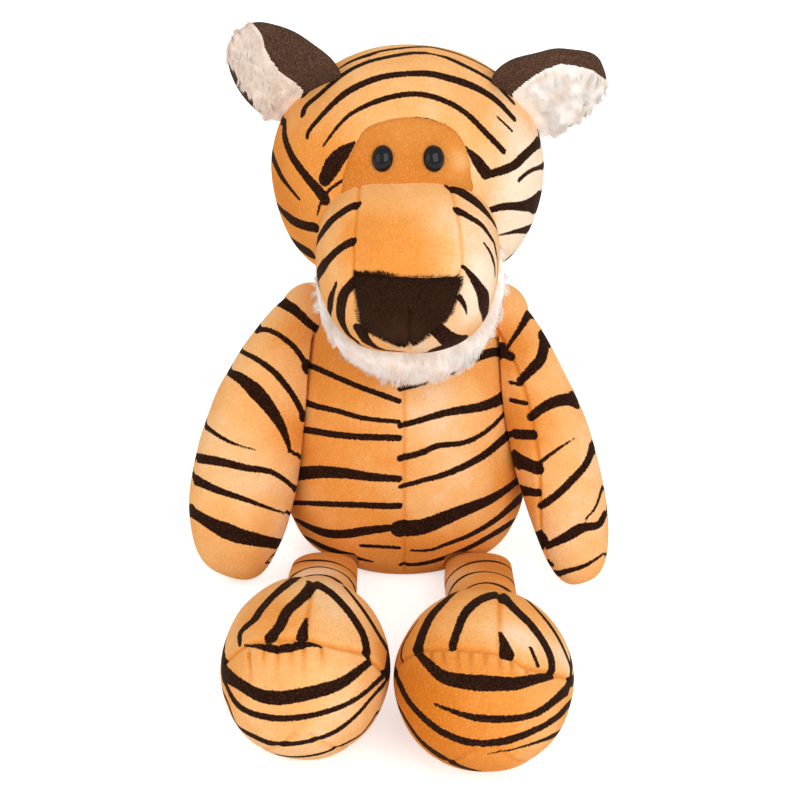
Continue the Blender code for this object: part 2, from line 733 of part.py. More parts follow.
def build_torso(owner):
    first = NECK_SEAM_SHARE * (SEAT_THICKNESS + GAP) / NECK_Z
    us = shares(0, 1, first, 1, 3.5 * first, TORSO_ROWS, NECK_SEAM_SHARE, NECK_ROWS, NECK_OPENING_SHARE)
    quarters = {
        "torso_back_left": (0.0, 0.25),
        "torso_back_right": (0.25, 0.5),
        "torso_front_right": (0.5, 0.75),
        "torso_front_left": (0.75, 1.0),
    }
    pieces = []
    for name, (start, end) in quarters.items():
        bm = panel(torso, us, shares(start, TORSO_COLUMNS, end), ("low", "high"))
        pieces.append(piece(name, bm, ORANGE, owner))
    half_width = SEAT_HALF_WIDTH - SKIN - GAP
    half_depth = SEAT_HALF_DEPTH - SKIN - GAP
    seat = [(0.0, half_width, half_depth), (SEAT_THICKNESS, half_width, half_depth)]
    pieces.append(piece("seat_panel", turned(seat, TORSO_TURN, Matrix.Identity(4)), DEEP_ORANGE, owner))
    bm = solid(torso, SKIN + GAP, us[1:] + [1.0], shares(0, TORSO_TURN, 1)[:-1])
    pieces.append(piece("torso_stuffing", bm, FILLING, owner))
    return pieces


def build_head(owner):
    us = shares(0, HEAD_ROWS, 1)
    bm = panel(head, us, shares(0.0, HEAD_COLUMNS, 0.5), ("low", "high"))
    back = piece("head_back", bm, ORANGE, owner)
    bm = panel(head, us, shares(0.5, HEAD_COLUMNS, 1.0), ("low", "high"))
    front = piece("head_front", bm, ORANGE, owner)
    bm = round_solid(head, SKIN + GAP, HEAD_ROWS, 2 * HEAD_COLUMNS)
    stuffing = piece("head_stuffing", bm, FILLING, owner)
    cover = raised(head, GAP + FACET_ROOM + PATCH)
    (low, high), (start, end) = PATCH_ROW_SHARES, PATCH_TURN_SHARES
    bm = panel(cover, shares(low, PATCH_ROWS, high), shares(start, PATCH_COLUMNS, end), (), PATCH)
    patch = piece("face_patch", bm, DEEP_ORANGE, owner)
    return back, front, stuffing, patch


def build_snout(owner):
    """The fabric of the snout, its nose and its stuffing. The nose is a cap, so nothing else reaches the tip."""
    us = shares(SNOUT_START_SHARE, SNOUT_ROWS, NOSE_START_SHARE)
    low, high = BRIDGE_TURN_SHARES
    bridge_vs = shares(low, BRIDGE_COLUMNS, high)
    left_vs = shares(-0.25, SNOUT_COLUMNS, low)
    right_vs = shares(high, SNOUT_COLUMNS, 0.75)
    edges = ("low", "high", "end")
    pieces = [
        piece("snout_bridge", panel(snout, us, bridge_vs, edges), DEEP_ORANGE, owner),
        piece("snout_side_left", panel(snout, us, left_vs, edges), ORANGE, owner),
        piece("snout_side_right", panel(snout, us, right_vs, edges), ORANGE, owner),
    ]
    round_vs = left_vs[:-1] + bridge_vs[:-1] + right_vs
    nose_us = shares(NOSE_START_SHARE, NOSE_ROWS, 1.0)
    grids = [grid(snout, nose_us, round_vs), grid(snout, nose_us, round_vs, SKIN)]
    for points in grids:
        points[0] += unit(points[1] - points[0]) * 0.5 * GAP
    piece("nose", skin_between(*grids, True), BROWN, owner)
    bm = solid(snout, SKIN + GAP, us + nose_us[1:], round_vs[:-1])
    pieces.append(piece("snout_stuffing", bm, FILLING, owner))
    bm = round_solid(beard, 0.0, BEARD_ROWS, BEARD_COLUMNS)
    return pieces, piece("beard", bm, WHITE_FUR, owner)


def eye_place(side):
    """A frame on the face whose Z looks straight out of the head."""
    x = HEAD_X + side * EYE_SPREAD
    point = Vector((x, crown_front_y(x, EYE_Z), EYE_Z))
    out = Vector((
        (point.x - HEAD_X) / HEAD_HALF_WIDTH ** 2,
        (point.y - HEAD_Y) / HEAD_HALF_DEPTH ** 2,
        (point.z - HEAD_Z) / HEAD_CROWN_HEIGHT ** 2,
    )).normalized()
    wide = Vector((0.0, 0.0, 1.0)).cross(out).normalized()
    tall = out.cross(wide)
    frame = Matrix((wide, tall, out)).transposed().to_4x4()
    return Matrix.Translation(point) @ frame


def build_eye(name, side, owner):
    """A glossy oval dome on a plastic shank, and the washer that locks it inside the head."""
    place = eye_place(side)
    seat = PATCH + FACET_ROOM + 2.0 * GAP
    profile = straight(-SHANK_LENGTH, seat, SHANK_RADIUS)
    for k in range(EYE_ROWS):
        bend = QUARTER * k / EYE_ROWS
        profile.append((
            seat + EYE_BULGE * math.sin(bend),
            EYE_HALF_WIDTH * math.cos(bend),
            EYE_HALF_HEIGHT * math.cos(bend),
        ))
    piece(name, turned(profile, EYE_SEGMENTS, place), EYE_BLACK, owner, GLOSS_ROUGHNESS)
    head_curve = WASHER_RADIUS ** 2 / (2.0 * HEAD_CROWN_HEIGHT)
    flats = HEAD_HALF_WIDTH * (1.0 - math.cos(QUARTER / HEAD_COLUMNS))
    flats += HEAD_CROWN_HEIGHT * (1.0 - math.cos(QUARTER / HEAD_ROWS))
    high = -SKIN - GAP - flats - head_curve
    low = high - WASHER_THICKNESS
    bm = turned(straight(low, high, WASHER_RADIUS), EYE_SEGMENTS, place)
    washer = piece(name + "_washer", bm, WASHER_WHITE, owner, PLASTIC_ROUGHNESS)
    bm = turned(straight(-SHANK_LENGTH - GAP, OVERRUN, SHANK_RADIUS + GAP), EYE_SEGMENTS, place)
    hole = cutter(name + "_hole", bm)
    bm = turned(straight(low - GAP, OVERRUN, WASHER_RADIUS + GAP), EYE_SEGMENTS, place)
    room = cutter(name + "_washer_room", bm)
    return washer, hole, room


def build_ear(name, form, owner):
    us = shares(0, EAR_ROWS, 1)
    bm = panel(form, us, shares(0.0, EAR_COLUMNS, 0.5), ("low", "high"), EAR_FUR)
    piece(name + "_front", bm, WHITE_FUR, owner)
    bm = panel(form, us, shares(0.5, EAR_COLUMNS, 1.0), ("low", "high"))
    piece(name + "_back", bm, BROWN, owner)


def build_arm(name, side, paw, radius, bow, owner):
    us = shares(0, UPPER_ARM_ROWS, 0.4, PAW_ROWS, 1)
    form = arm(side, paw, radius, bow)
    lining = arm(side, paw, radius, bow, SKIN)
    for part, start, end in (("_front", 0.0, 0.5), ("_back", 0.5, 1.0)):
        bm = panel(form, us, shares(start, ARM_COLUMNS, end), ("low", "high"), SKIN, lining)
        piece(name + part, bm, ORANGE, owner)
    filling = arm(side, paw, radius, bow, SKIN + GAP)
    bm = solid(filling, 0.0, us, shares(0, 2 * ARM_COLUMNS, 1)[:-1])
    piece(name + "_stuffing", bm, FILLING, owner)


def build_leg(name, form, owner):
    us = shares(0.1, 1, 0.25, LEG_ROWS, 0.93)
    piece(name + "_skin", sleeve(form, us, LEG_COLUMNS), ORANGE, owner)
    stuffing = solid(form, SKIN + GAP, [0.0] + us + [1.0], shares(0, LEG_COLUMNS, 1)[:-1])
    piece(name + "_stuffing", stuffing, FILLING, owner)


def build_foot(name, form, side, owner):
    """Two instep panels that meet at the middle, a toe cap below them, and the sole."""
    low, high = SOLE_TURN_SHARES
    instep_us = shares(0, INSTEP_ROWS, TOE_SEAM_SHARE)
    toe_us = shares(TOE_SEAM_SHARE, TOE_ROWS, 1.0)
    all_us = instep_us + toe_us[1:]
    sole_us = [u for u in all_us if u > SOLE_START_SHARE]
    left_vs = shares(high - 1.0, INSTEP_COLUMNS, 0.25)
    right_vs = shares(0.25, INSTEP_COLUMNS, low)
    sole_vs = shares(low, SOLE_COLUMNS, high)
    left, right = ("_instep_outer", "_instep_inner") if side > 0 else ("_instep_inner", "_instep_outer")
    edges = ("low", "high", "end")
    toe_vs = left_vs[:-1] + right_vs
    pieces = [
        piece(name + left, panel(form, instep_us, left_vs, edges), ORANGE, owner),
        piece(name + right, panel(form, instep_us, right_vs, edges), ORANGE, owner),
        piece(name + "_toe_cap", panel(form, toe_us, toe_vs, ("low", "high", "start")), ORANGE, owner),
        piece(name + "_sole", panel(form, sole_us, sole_vs, ("low", "high")), DEEP_ORANGE, owner),
    ]
    bm = solid(form, SKIN + GAP, all_us, toe_vs[:-1] + sole_vs[:-1])
    pieces.append(piece(name + "_stuffing", bm, FILLING, owner))
    return pieces


def build_tail(owner):
    skin_us = shares(0.04, 2, TAIL_END_SHARE, TAIL_ROWS, TAIL_TIP_SHARE)
    tip_us = shares(TAIL_TIP_SHARE, TAIL_TIP_ROWS, 1.0)
    piece("tail_skin", sleeve(tail, skin_us, TAIL_COLUMNS, ("end",)), ORANGE, owner)
    piece("tail_tip", sleeve(tail, tip_us, TAIL_COLUMNS, ("start",)), BROWN, owner)
    bm = solid(tail, SKIN + GAP, [0.0] + skin_us + tip_us[1:], shares(0, TAIL_COLUMNS, 1)[:-1])
    piece("tail_stuffing", bm, FILLING, owner)


# Assembly


def assemble_head(torso_body):
    neck = Vector((0.0, TORSO_LEAN, NECK_Z))
    ring_body = body("neck_ring_body", neck, torso_body)
    head_body = body("head_body", neck, ring_body)
    seam_ring("neck_seam", neck, Vector((0.0, 0.0, 1.0)), NECK_RADIUS, NECK_RING_DEG, ring_body)
    back, front, stuffing, patch = build_head(head_body)
    snout_pieces, beard_piece = build_snout(head_body)
    head_room = cutter("head_room", round_solid(head, -GAP - FACET_ROOM, CUTTER_ROWS, CUTTER_COLUMNS))
    cut(snout_pieces + [beard_piece], head_room)
    snout_room = cutter("snout_room", round_solid(snout, -GAP - FACET_ROOM, CUTTER_ROWS, CUTTER_COLUMNS))
    cut([beard_piece, patch], snout_room)
    cut([front, back, stuffing], cutter("neck_pocket", ball(neck, pocket_radius(NECK_RADIUS))))
    for name, side in (("eye_left", 1), ("eye_right", -1)):
        washer, hole, room = build_eye(name, side, head_body)
        cut([front, patch, washer, stuffing], hole)
        cut([stuffing], room)
    for name, side, spread, lean_deg in (
        ("ear_left", 1, LEFT_EAR_SPREAD, LEFT_EAR_LEAN_DEG),
        ("ear_right", -1, RIGHT_EAR_SPREAD, RIGHT_EAR_LEAN_DEG),
    ):
        frame = ear_frame(side, spread, lean_deg)
        ear_body = body(name + "_body", frame[0], head_body)
        build_ear(name, ear(frame, side), ear_body)
        room = ear(frame, side, GAP + FACET_ROOM, math.sin(math.radians(EAR_FOLD_DEG)))
        groove = cutter(name + "_groove", round_solid(room, 0.0, 2 * EAR_ROWS, 4 * EAR_COLUMNS))
        cut([front, back, stuffing], groove)


def assemble_arms(torso_body, torso_pieces):
    for name, side, paw, radius, bow in (
        ("left", 1, LEFT_PAW, LEFT_PAW_RADIUS, LEFT_ARM_BOW),
        ("right", -1, RIGHT_PAW, RIGHT_PAW_RADIUS, RIGHT_ARM_BOW),
    ):
        shoulder = Vector((side * SHOULDER_X, SHOULDER_Y, SHOULDER_Z))
        ring_body = body("shoulder_ring_" + name + "_body", shoulder, torso_body)
        arm_body = body("arm_" + name + "_body", shoulder, ring_body)
        inward = Vector((-side, 0.0, 0.0))
        seam_ring("shoulder_seam_" + name, shoulder, inward, SHOULDER_RADIUS, SHOULDER_RING_DEG, ring_body)
        build_arm("arm_" + name, side, paw, radius, bow, arm_body)
        cut(torso_pieces, cutter("shoulder_pocket_" + name, ball(shoulder, pocket_radius(SHOULDER_RADIUS))))


def assemble_legs(torso_body, torso_pieces):
    for name, side, x, ankle_y, foot_x, half_width in (
        ("left", 1, LEFT_LEG_X, LEFT_ANKLE_Y, LEFT_FOOT_X, LEFT_FOOT_HALF_WIDTH),
        ("right", -1, RIGHT_LEG_X, RIGHT_ANKLE_Y, RIGHT_FOOT_X, RIGHT_FOOT_HALF_WIDTH),
    ):
        hip = Vector((x, HIP_Y, HIP_Z))
        ankle = Vector((x, ankle_y, ANKLE_Z))
        leg_body = body("leg_" + name + "_body", hip, torso_body)
        build_leg("leg_" + name, leg(hip, ankle), leg_body)
        reach = HIP_HALF_WIDTH + SEAM_CLEARANCE
        across = Matrix.Translation(hip) @ Matrix.Rotation(QUARTER, 4, "Y")
        bm = turned(straight(-reach, reach, HIP_HALF_HEIGHT + SEAM_CLEARANCE), BALL_SEGMENTS, across)
        cut(torso_pieces, cutter("hip_pocket_" + name, bm))
        foot_body = body("foot_" + name + "_body", ankle, leg_body)
        foot_pieces = build_foot("foot_" + name, foot(foot_x, ankle_y, half_width), side, foot_body)
        cut(foot_pieces, cutter("ankle_pocket_" + name, ball(ankle, round_ball(ANKLE_RADIUS + GAP, BALL_SEGMENTS))))


def assemble_tail(torso_body, torso_pieces):
    root = Vector((0.0, TAIL_ROOT_Y, TAIL_RISE + TAIL_ROOT_RADIUS))
    ring_body = body("tail_ring_body", root, torso_body)
    tail_body = body("tail_body", root, ring_body)
    seam_ring("tail_seam", root, Vector((0.0, -1.0, 0.0)), TAIL_ROOT_RADIUS, TAIL_RING_DEG, ring_body)
    build_tail(tail_body)
    cut(torso_pieces, cutter("tail_pocket", ball(root, pocket_radius(TAIL_ROOT_RADIUS))))


def build():
    clear_scene()
    torso_body = body("torso_body", Vector((0.0, 0.0, 0.0)))
    torso_pieces = build_torso(torso_body)
    assemble_head(torso_body)
    assemble_arms(torso_body, torso_pieces)
    assemble_legs(torso_body, torso_pieces)
    assemble_tail(torso_body, torso_pieces)


build()
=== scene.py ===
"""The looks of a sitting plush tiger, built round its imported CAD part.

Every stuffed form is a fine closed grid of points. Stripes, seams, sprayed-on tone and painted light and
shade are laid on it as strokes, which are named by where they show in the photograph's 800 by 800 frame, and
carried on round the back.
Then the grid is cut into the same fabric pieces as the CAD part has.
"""

import math

import bmesh
import bpy
import numpy as np
from mathutils import Matrix, Vector
from mathutils.bvhtree import BVHTree


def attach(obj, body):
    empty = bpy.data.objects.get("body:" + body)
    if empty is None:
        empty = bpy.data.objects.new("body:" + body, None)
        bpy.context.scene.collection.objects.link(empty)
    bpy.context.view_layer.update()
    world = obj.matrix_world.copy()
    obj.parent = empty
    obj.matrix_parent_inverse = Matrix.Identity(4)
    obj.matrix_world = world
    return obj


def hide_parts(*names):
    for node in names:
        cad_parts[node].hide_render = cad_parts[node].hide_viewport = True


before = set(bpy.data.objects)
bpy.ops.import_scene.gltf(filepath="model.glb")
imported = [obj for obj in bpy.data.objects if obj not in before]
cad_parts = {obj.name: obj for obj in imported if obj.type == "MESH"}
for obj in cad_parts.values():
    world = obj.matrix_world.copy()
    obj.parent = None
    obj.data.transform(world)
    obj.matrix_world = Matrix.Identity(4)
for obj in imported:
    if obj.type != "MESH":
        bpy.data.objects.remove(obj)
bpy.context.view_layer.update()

MM = 0.001
TURN = 2.0 * math.pi
QUARTER = 0.5 * math.pi

# Camera: the photograph's
ELEVATION = math.radians(28.0)
DISTANCE = 1.2
LENS = 108.0
SENSOR = 36.0
FOCAL_PX = 2400.0  # the lens in pixels of the 800 pixel frame
MIDDLE_PX = 400.0
SHIFT_PX = 4.0
TARGET_RISE = 0.0735
UP = np.array((0.0, math.sin(ELEVATION), math.cos(ELEVATION)))
LOOK = np.array((0.0, math.cos(ELEVATION), -math.sin(ELEVATION)))
SIDE = np.array((1.0, 0.0, 0.0))
EYE_POINT = UP * TARGET_RISE - LOOK * DISTANCE - SIDE * (SHIFT_PX / FOCAL_PX * DISTANCE)
PX = DISTANCE / FOCAL_PX  # the size of a pixel at the toy

# The toy's sizes, as in the CAD part
NECK_Z = 0.150
NECK_RADIUS = 0.030
TORSO_HALF_WIDTH = 0.060
TORSO_LEAN = 0.020
SEAT_HALF_WIDTH = 0.036
SEAT_HALF_DEPTH = 0.0255
NECK_SEAM_SHARE = 0.80
TORSO_WIDTH_SHARES = (
    (0.00, SEAT_HALF_WIDTH / TORSO_HALF_WIDTH), (0.05, 0.80), (0.13, 0.93), (0.28, 1.00), (0.45, 0.97),
    (0.62, 0.88), (0.78, 0.77), (0.90, 0.64), (1.00, NECK_RADIUS / TORSO_HALF_WIDTH),
)
TORSO_DEPTH_SHARES = (
    (0.00, SEAT_HALF_DEPTH / SEAT_HALF_WIDTH), (0.28, 0.75), (0.62, 0.78), (0.90, 0.90), (1.00, 1.00),
)
HEAD = np.array((0.0016, 0.005, 0.204))
HEAD_HALF_WIDTH = 0.063
HEAD_HALF_DEPTH = 0.055
HEAD_CROWN_HEIGHT = 0.055
HEAD_CHEEK_HEIGHT = 0.053
HEAD_CHEEK_POWER = 0.50
SNOUT = np.array((0.0016, -0.045, 0.179))
SNOUT_HALF_WIDTH = 0.041
SNOUT_HALF_HEIGHT = 0.038
SNOUT_HALF_LENGTH = 0.043
SNOUT_DROP = math.radians(20.0)
SNOUT_CORNER_POWER = 0.78
BEARD_HALF_DEPTH = 0.009
BEARD_SIDE_WIDTH = 0.0025
BEARD_CHIN_WIDTH = 0.0265
BEARD_START_DEG = 188.0
BEARD_END_DEG = 376.0
BEARD_SINK = 0.006
BEARD_SET_BACK = 0.004
EYE_HALF_WIDTH = 0.0047
EYE_HALF_HEIGHT = 0.0059
EYE_BULGE = 0.0034
EYE_SPREAD = 0.0112
EYE_Z = 0.2268
LEFT_EAR = (1.0, 0.0500, 69.0)  # side, how far out it stands, how far it leans out in degrees
RIGHT_EAR = (-1.0, 0.0460, 47.0)
EAR_Y = 0.0015
EAR_LENGTH = 0.041
EAR_HALF_WIDTH = 0.0300
EAR_HALF_THICKNESS = 0.0115
EAR_ROOT_RADIUS = 0.0055
EAR_FACE = math.radians(24.0)
EAR_ROOT_WRAP = 0.0090
EAR_UPPER_SHARES = ((0.0, 0.92), (0.25, 0.83), (0.5, 0.70), (0.75, 0.65), (1.0, 0.60))
EAR_LOWER_SHARES = ((0.0, 1.05), (0.25, 1.02), (0.5, 0.93), (0.75, 0.80), (1.0, 0.62))
SHOULDER = np.array((0.0455, 0.0165, 0.122))
SHOULDER_RADIUS = 0.0145
ARM_DEPTH_SHARE = 0.86
ARM_TAPER_POWER = 0.54
ARM_FULL_POWER = 0.66
ARM_SIDE_CLEARANCE = 0.0019
RIGHT_ARM = (-1.0, np.array((-0.0765, -0.0230, 0.0310)), 0.0300, 0.0075)  # side, paw, its radius, bow
LEFT_ARM = (1.0, np.array((0.0805, -0.0330, 0.0250)), 0.0220, 0.0045)
HIP_Y = -0.0343
HIP_Z = 0.0095
HIP_HALF_HEIGHT = 0.0075
HIP_HALF_WIDTH = 0.0160
LEG_SWELL = 0.0012
ANKLE_Z = 0.0260
ANKLE_RADIUS = 0.0145
RIGHT_ANKLE = np.array((-0.0388, -0.1030, ANKLE_Z))
LEFT_ANKLE = np.array((0.0360, -0.1120, ANKLE_Z))
FOOT_HALF_HEIGHT = 0.0365
FOOT_HALF_LENGTH = 0.0500
FOOT_FULL_POWER = 0.84
FOOT_BACK_TAPER_SHARE = 0.22
FLOOR_CUT = 0.0005
RIGHT_FOOT = (-0.0430, 0.0385)
LEFT_FOOT = (0.0340, 0.0405)
TOE_SEAM_SHARE = 0.67
SOLE_TURN_SHARES = (0.64, 0.86)
TAIL_ROOT = np.array((0.0, 0.0480, 0.0104))
TAIL_RADIUS = 0.0086
TAIL_ROOT_RADIUS = 0.0095
TAIL_LENGTH = 0.150
TAIL_CURL = math.radians(62.0)
TAIL_END_SHARE = 0.12
TAIL_TIP_SHARE = 0.78
TAIL_TAPER_SHARE = 0.13
POCKET_CLEARANCE = 0.0009
HIP_CLEARANCE = 0.0002
FAR = 4.0 * MM  # the stripe field's value where no stripe is near
HIDDEN_NORM = 0.93  # what lies deeper in the head than this isn't made
FUR_NORM = 1.07  # the ear's fur grows only outside this
EAR_FUR_TURN = -0.12  # how far the fur goes round the ear's edge
BAR_HALF_WIDTH = 1.9 * MM
TRACE_STEP_PX = 3.0
WIDTH_LIMITS = (0.4, 1.1)  # a traced stripe's half width, as shares of its width in the frame
SEAM_GAP_SHARE = 0.012  # a carried stripe ends this far before the seam
SPREAD_REACH = 5.0 * MM
# Painted shade in creases: the crease depth that gets it in full, and how deep it goes
FULL_CREASE = 1.2 * MM
CREASE_SHADE = 0.45
PATCH_TONE = 0.12
PATCH_SIZE = 30.0 * MM
EYE_SOCKET_DEPTH = 1.1 * MM
EYE_SOCKET_RADIUS = 7.5 * MM
NOSE_PILE_RISE = 0.42
NOSE_STRANDS = 3200
EAR_STRANDS = 8000
BEARD_STRANDS = 12000
STRAND_WIDTH = 0.30 * MM
FUR_DRAW = 0.35  # how far the strands of a tuft draw together
SEAT_TONE = -0.3
CARRY_STEPS = 90  # steps in a whole turn of a carried stripe
LEAST_CARRIED = 0.9 * MM
CLOTH_SPECULAR = 0.05
FIBRE_SCALE = 2800.0
CLUMP_SCALE = 1050.0
BRUSHED_SCALE = 110.0
FLOOR_SIZE = 6.0
FLOOR_DROP = 0.2 * MM
FLOOR_GLOW = 0.55
WORLD_LIGHT = 0.62


def curve(table, value):
    """Reads a table of (place, size) with a smooth curve through its points, at many values at once."""
    places = np.array([row[0] for row in table])
    sizes = np.array([row[1] for row in table])
    slopes = np.gradient(sizes, places)
    index = np.clip(np.searchsorted(places, value) - 1, 0, len(places) - 2)
    span = places[index + 1] - places[index]
    t = np.clip((value - places[index]) / span, 0.0, 1.0)
    start = (1 + 2 * t) * (1 - t) ** 2 * sizes[index] + t * (1 - t) ** 2 * slopes[index] * span
    end = t * t * (3 - 2 * t) * sizes[index + 1] + t * t * (t - 1) * slopes[index + 1] * span
    return start + end


def ease(value):
    value = np.clip(value, 0.0, 1.0)
    return value * value * (3.0 - 2.0 * value)


def powered(value, power):
    return np.sign(value) * np.abs(value) ** power


def unit(vectors):
    return vectors / np.maximum(np.linalg.norm(vectors, axis=-1, keepdims=True), 1e-12)


def stacked(x, y, z):
    return np.stack(np.broadcast_arrays(x, y, z), axis=-1)


# Forms: each takes shares u along its length and shares v of its turn, and gives points


def torso(u, v):
    height = NECK_Z * np.minimum(u / NECK_SEAM_SHARE, 1.0)
    share = height / NECK_Z
    width = TORSO_HALF_WIDTH * curve(TORSO_WIDTH_SHARES, share)
    depth = width * curve(TORSO_DEPTH_SHARES, share)
    bend = QUARTER * np.clip((u - NECK_SEAM_SHARE) / (1.0 - NECK_SEAM_SHARE), 0.0, 1.0)
    width = width * np.cos(bend)
    depth = depth * np.cos(bend)
    rise = NECK_RADIUS * np.sin(bend)
    return stacked(width * np.cos(TURN * v), TORSO_LEAN * share + depth * np.sin(TURN * v), height + rise)


def torso_side(y, z):
    """How far out the torso's side is at these depths and heights."""
    share = np.clip(z, 0.0, NECK_Z) / NECK_Z
    width = TORSO_HALF_WIDTH * curve(TORSO_WIDTH_SHARES, share)
    depth = width * curve(TORSO_DEPTH_SHARES, share)
    return width * np.sqrt(np.maximum(1.0 - ((y - TORSO_LEAN * share) / depth) ** 2, 0.0))


def head(u, v):
    bend = math.pi * (u - 0.5)
    height = np.where(bend > 0, HEAD_CROWN_HEIGHT, HEAD_CHEEK_HEIGHT)
    across = np.maximum(np.cos(bend), 0.0) ** np.where(bend > 0, 1.0, HEAD_CHEEK_POWER)
    x = HEAD_HALF_WIDTH * across * np.cos(TURN * v)
    y = HEAD_HALF_DEPTH * across * np.sin(TURN * v)
    return HEAD + stacked(x, y, height * np.sin(bend))


def head_norm(points):
    """Under 1 inside the head."""
    place = points - HEAD
    height = np.where(place[..., 2] > 0, HEAD_CROWN_HEIGHT, HEAD_CHEEK_HEIGHT)
    flat = np.hypot(place[..., 0] / HEAD_HALF_WIDTH, place[..., 1] / HEAD_HALF_DEPTH)
    return np.hypot(flat, place[..., 2] / height)


def snout(u, v):
    along = np.array((0.0, -math.cos(SNOUT_DROP), -math.sin(SNOUT_DROP)))
    up = np.array((0.0, -math.sin(SNOUT_DROP), math.cos(SNOUT_DROP)))
    bend = math.pi * u
    across = np.maximum(np.sin(bend), 0.0) ** SNOUT_CORNER_POWER
    side = SNOUT_HALF_WIDTH * across * powered(np.cos(TURN * v), SNOUT_CORNER_POWER)
    rise = SNOUT_HALF_HEIGHT * across * powered(np.sin(TURN * v), SNOUT_CORNER_POWER)
    forward = -SNOUT_HALF_LENGTH * np.cos(bend)
    return SNOUT + SIDE * side[..., None] + up * rise[..., None] + along * forward[..., None]


def beard(u, v):
    angle = np.radians(BEARD_START_DEG + (BEARD_END_DEG - BEARD_START_DEG) * u)
    swell = np.maximum(np.sin(math.pi * u), 0.0) ** 0.6
    below = 0.5 - 0.5 * np.sin(angle)
    width = BEARD_SIDE_WIDTH + (BEARD_CHIN_WIDTH - BEARD_SIDE_WIDTH) * below ** 4
    out = 0.5 * (width - BEARD_SINK) + 0.5 * (width + BEARD_SINK) * swell * np.cos(TURN * v)
    x = (SNOUT_HALF_WIDTH + out) * np.cos(angle)
    y = BEARD_SET_BACK + BEARD_HALF_DEPTH * swell * np.sin(TURN * v)
    return SNOUT + stacked(x, y, (SNOUT_HALF_HEIGHT + out) * np.sin(angle))


def ear_frame(side, spread, lean_deg):
    """The ear's root on the head, then its length, width and furry-side directions."""
    inside = 1.0 - (spread / HEAD_HALF_WIDTH) ** 2 - ((EAR_Y - HEAD[1]) / HEAD_HALF_DEPTH) ** 2
    root = np.array((HEAD[0] + side * spread, EAR_Y, HEAD[2] + HEAD_CROWN_HEIGHT * math.sqrt(inside)))
    lean = math.radians(lean_deg)
    length = np.array((side * math.sin(lean), 0.0, math.cos(lean)))
    outward = np.array((side * math.cos(lean), 0.0, -math.sin(lean)))
    fur_side = np.array((0.0, -math.cos(EAR_FACE), 0.0)) + outward * math.sin(EAR_FACE)
    return root, length, np.cross(length, fur_side), fur_side


def ear(side, spread, lean_deg):
    """A leaf, fuller below, whose root wraps the round of the head."""
    root, length, wide, fur_side = ear_frame(side, spread, lean_deg)

    def form(u, v):
        bend = math.pi * u
        share = 0.5 * (1.0 - np.cos(bend))
        across = np.maximum(np.sin(bend), 0.0) ** 0.7
        turn = np.cos(TURN * v)
        lower = curve(EAR_LOWER_SHARES, share)
        upper = curve(EAR_UPPER_SHARES, share)
        half_width = EAR_HALF_WIDTH * across * np.where(turn * side > 0, lower, upper)
        swell = (EAR_HALF_THICKNESS - EAR_ROOT_RADIUS) * np.sin(math.pi * share)
        half_thickness = (EAR_ROOT_RADIUS + swell) * across
        reach = (EAR_LENGTH + EAR_ROOT_RADIUS) * share - EAR_ROOT_RADIUS
        reach = reach - EAR_ROOT_WRAP * across * (1.0 - share) ** 2 * turn ** 2
        # The furry side is hollowed like a cup
        thick = half_thickness * np.sin(TURN * v)
        thick = np.where(thick > 0, thick * 0.55, thick)
        sideways = half_width * turn
        return root + length * reach[..., None] + wide * sideways[..., None] + fur_side * thick[..., None]

    return form


def arm(side, paw, paw_radius, bow):
    """A teardrop from the shoulder ball to the paw, pressed flat where it lies along the torso."""
    shoulder = SHOULDER * np.array((side, 1.0, 1.0))
    reach = np.linalg.norm(paw - shoulder)
    along = (paw - shoulder) / reach
    wide = unit(np.cross((0.0, -1.0, 0.0), along))
    wide = wide * math.copysign(1.0, wide[0] * side)
    deep = np.cross(along, wide)

    def form(u, v):
        share = 0.5 * (1.0 - np.cos(math.pi * u))
        swell = np.maximum(np.sin(math.pi * u), 0.0) ** ARM_FULL_POWER
        radius = (SHOULDER_RADIUS + (paw_radius - SHOULDER_RADIUS) * share ** ARM_TAPER_POWER) * swell
        length = reach + SHOULDER_RADIUS + paw_radius
        place = (length * share - SHOULDER_RADIUS)[..., None]
        sideways = (bow * np.sin(math.pi * share) + radius * np.cos(TURN * v))[..., None]
        depth = (radius * ARM_DEPTH_SHARE * np.sin(TURN * v))[..., None]
        points = shoulder + along * place + wide * sideways + deep * depth
        limit = torso_side(points[..., 1], points[..., 2]) + ARM_SIDE_CLEARANCE
        past_ball = ease(share * length / SHOULDER_RADIUS - 1.0)
        pressed = np.maximum(limit - side * points[..., 0], 0.0)
        points[..., 0] += side * pressed * past_ball
        place = points - shoulder
        distance = np.linalg.norm(place, axis=-1, keepdims=True)
        return np.where(distance < SHOULDER_RADIUS, shoulder + unit(place) * SHOULDER_RADIUS, points)

    return form


def leg(ankle):
    hip = np.array((ankle[0], HIP_Y, HIP_Z))
    reach = np.linalg.norm(ankle - hip)
    along = (ankle - hip) / reach
    wide = unit(np.cross(along, (0.0, 0.0, 1.0)))
    up = np.cross(wide, along)

    def form(u, v):
        start = QUARTER * np.clip(u / 0.25, 0.0, 1.0)
        end = QUARTER * np.clip((u - 0.75) / 0.25, 0.0, 1.0)
        share = np.clip((u - 0.25) / 0.5, 0.0, 1.0)
        height = HIP_HALF_HEIGHT + (ANKLE_RADIUS - HIP_HALF_HEIGHT) * ease(1.2 * share)
        width = HIP_HALF_WIDTH + (ANKLE_RADIUS - HIP_HALF_WIDTH) * ease(share)
        width = (width + LEG_SWELL * np.sin(math.pi * share)) * np.sin(start) ** 0.4 * np.cos(end)
        height = height * np.sin(start) * np.cos(end)
        place = reach * share - HIP_HALF_HEIGHT * np.cos(start) + ANKLE_RADIUS * np.sin(end)
        side = (width * np.cos(TURN * v))[..., None]
        return hip + along * place[..., None] + wide * side + up * (height * np.sin(TURN * v))[..., None]

    return form


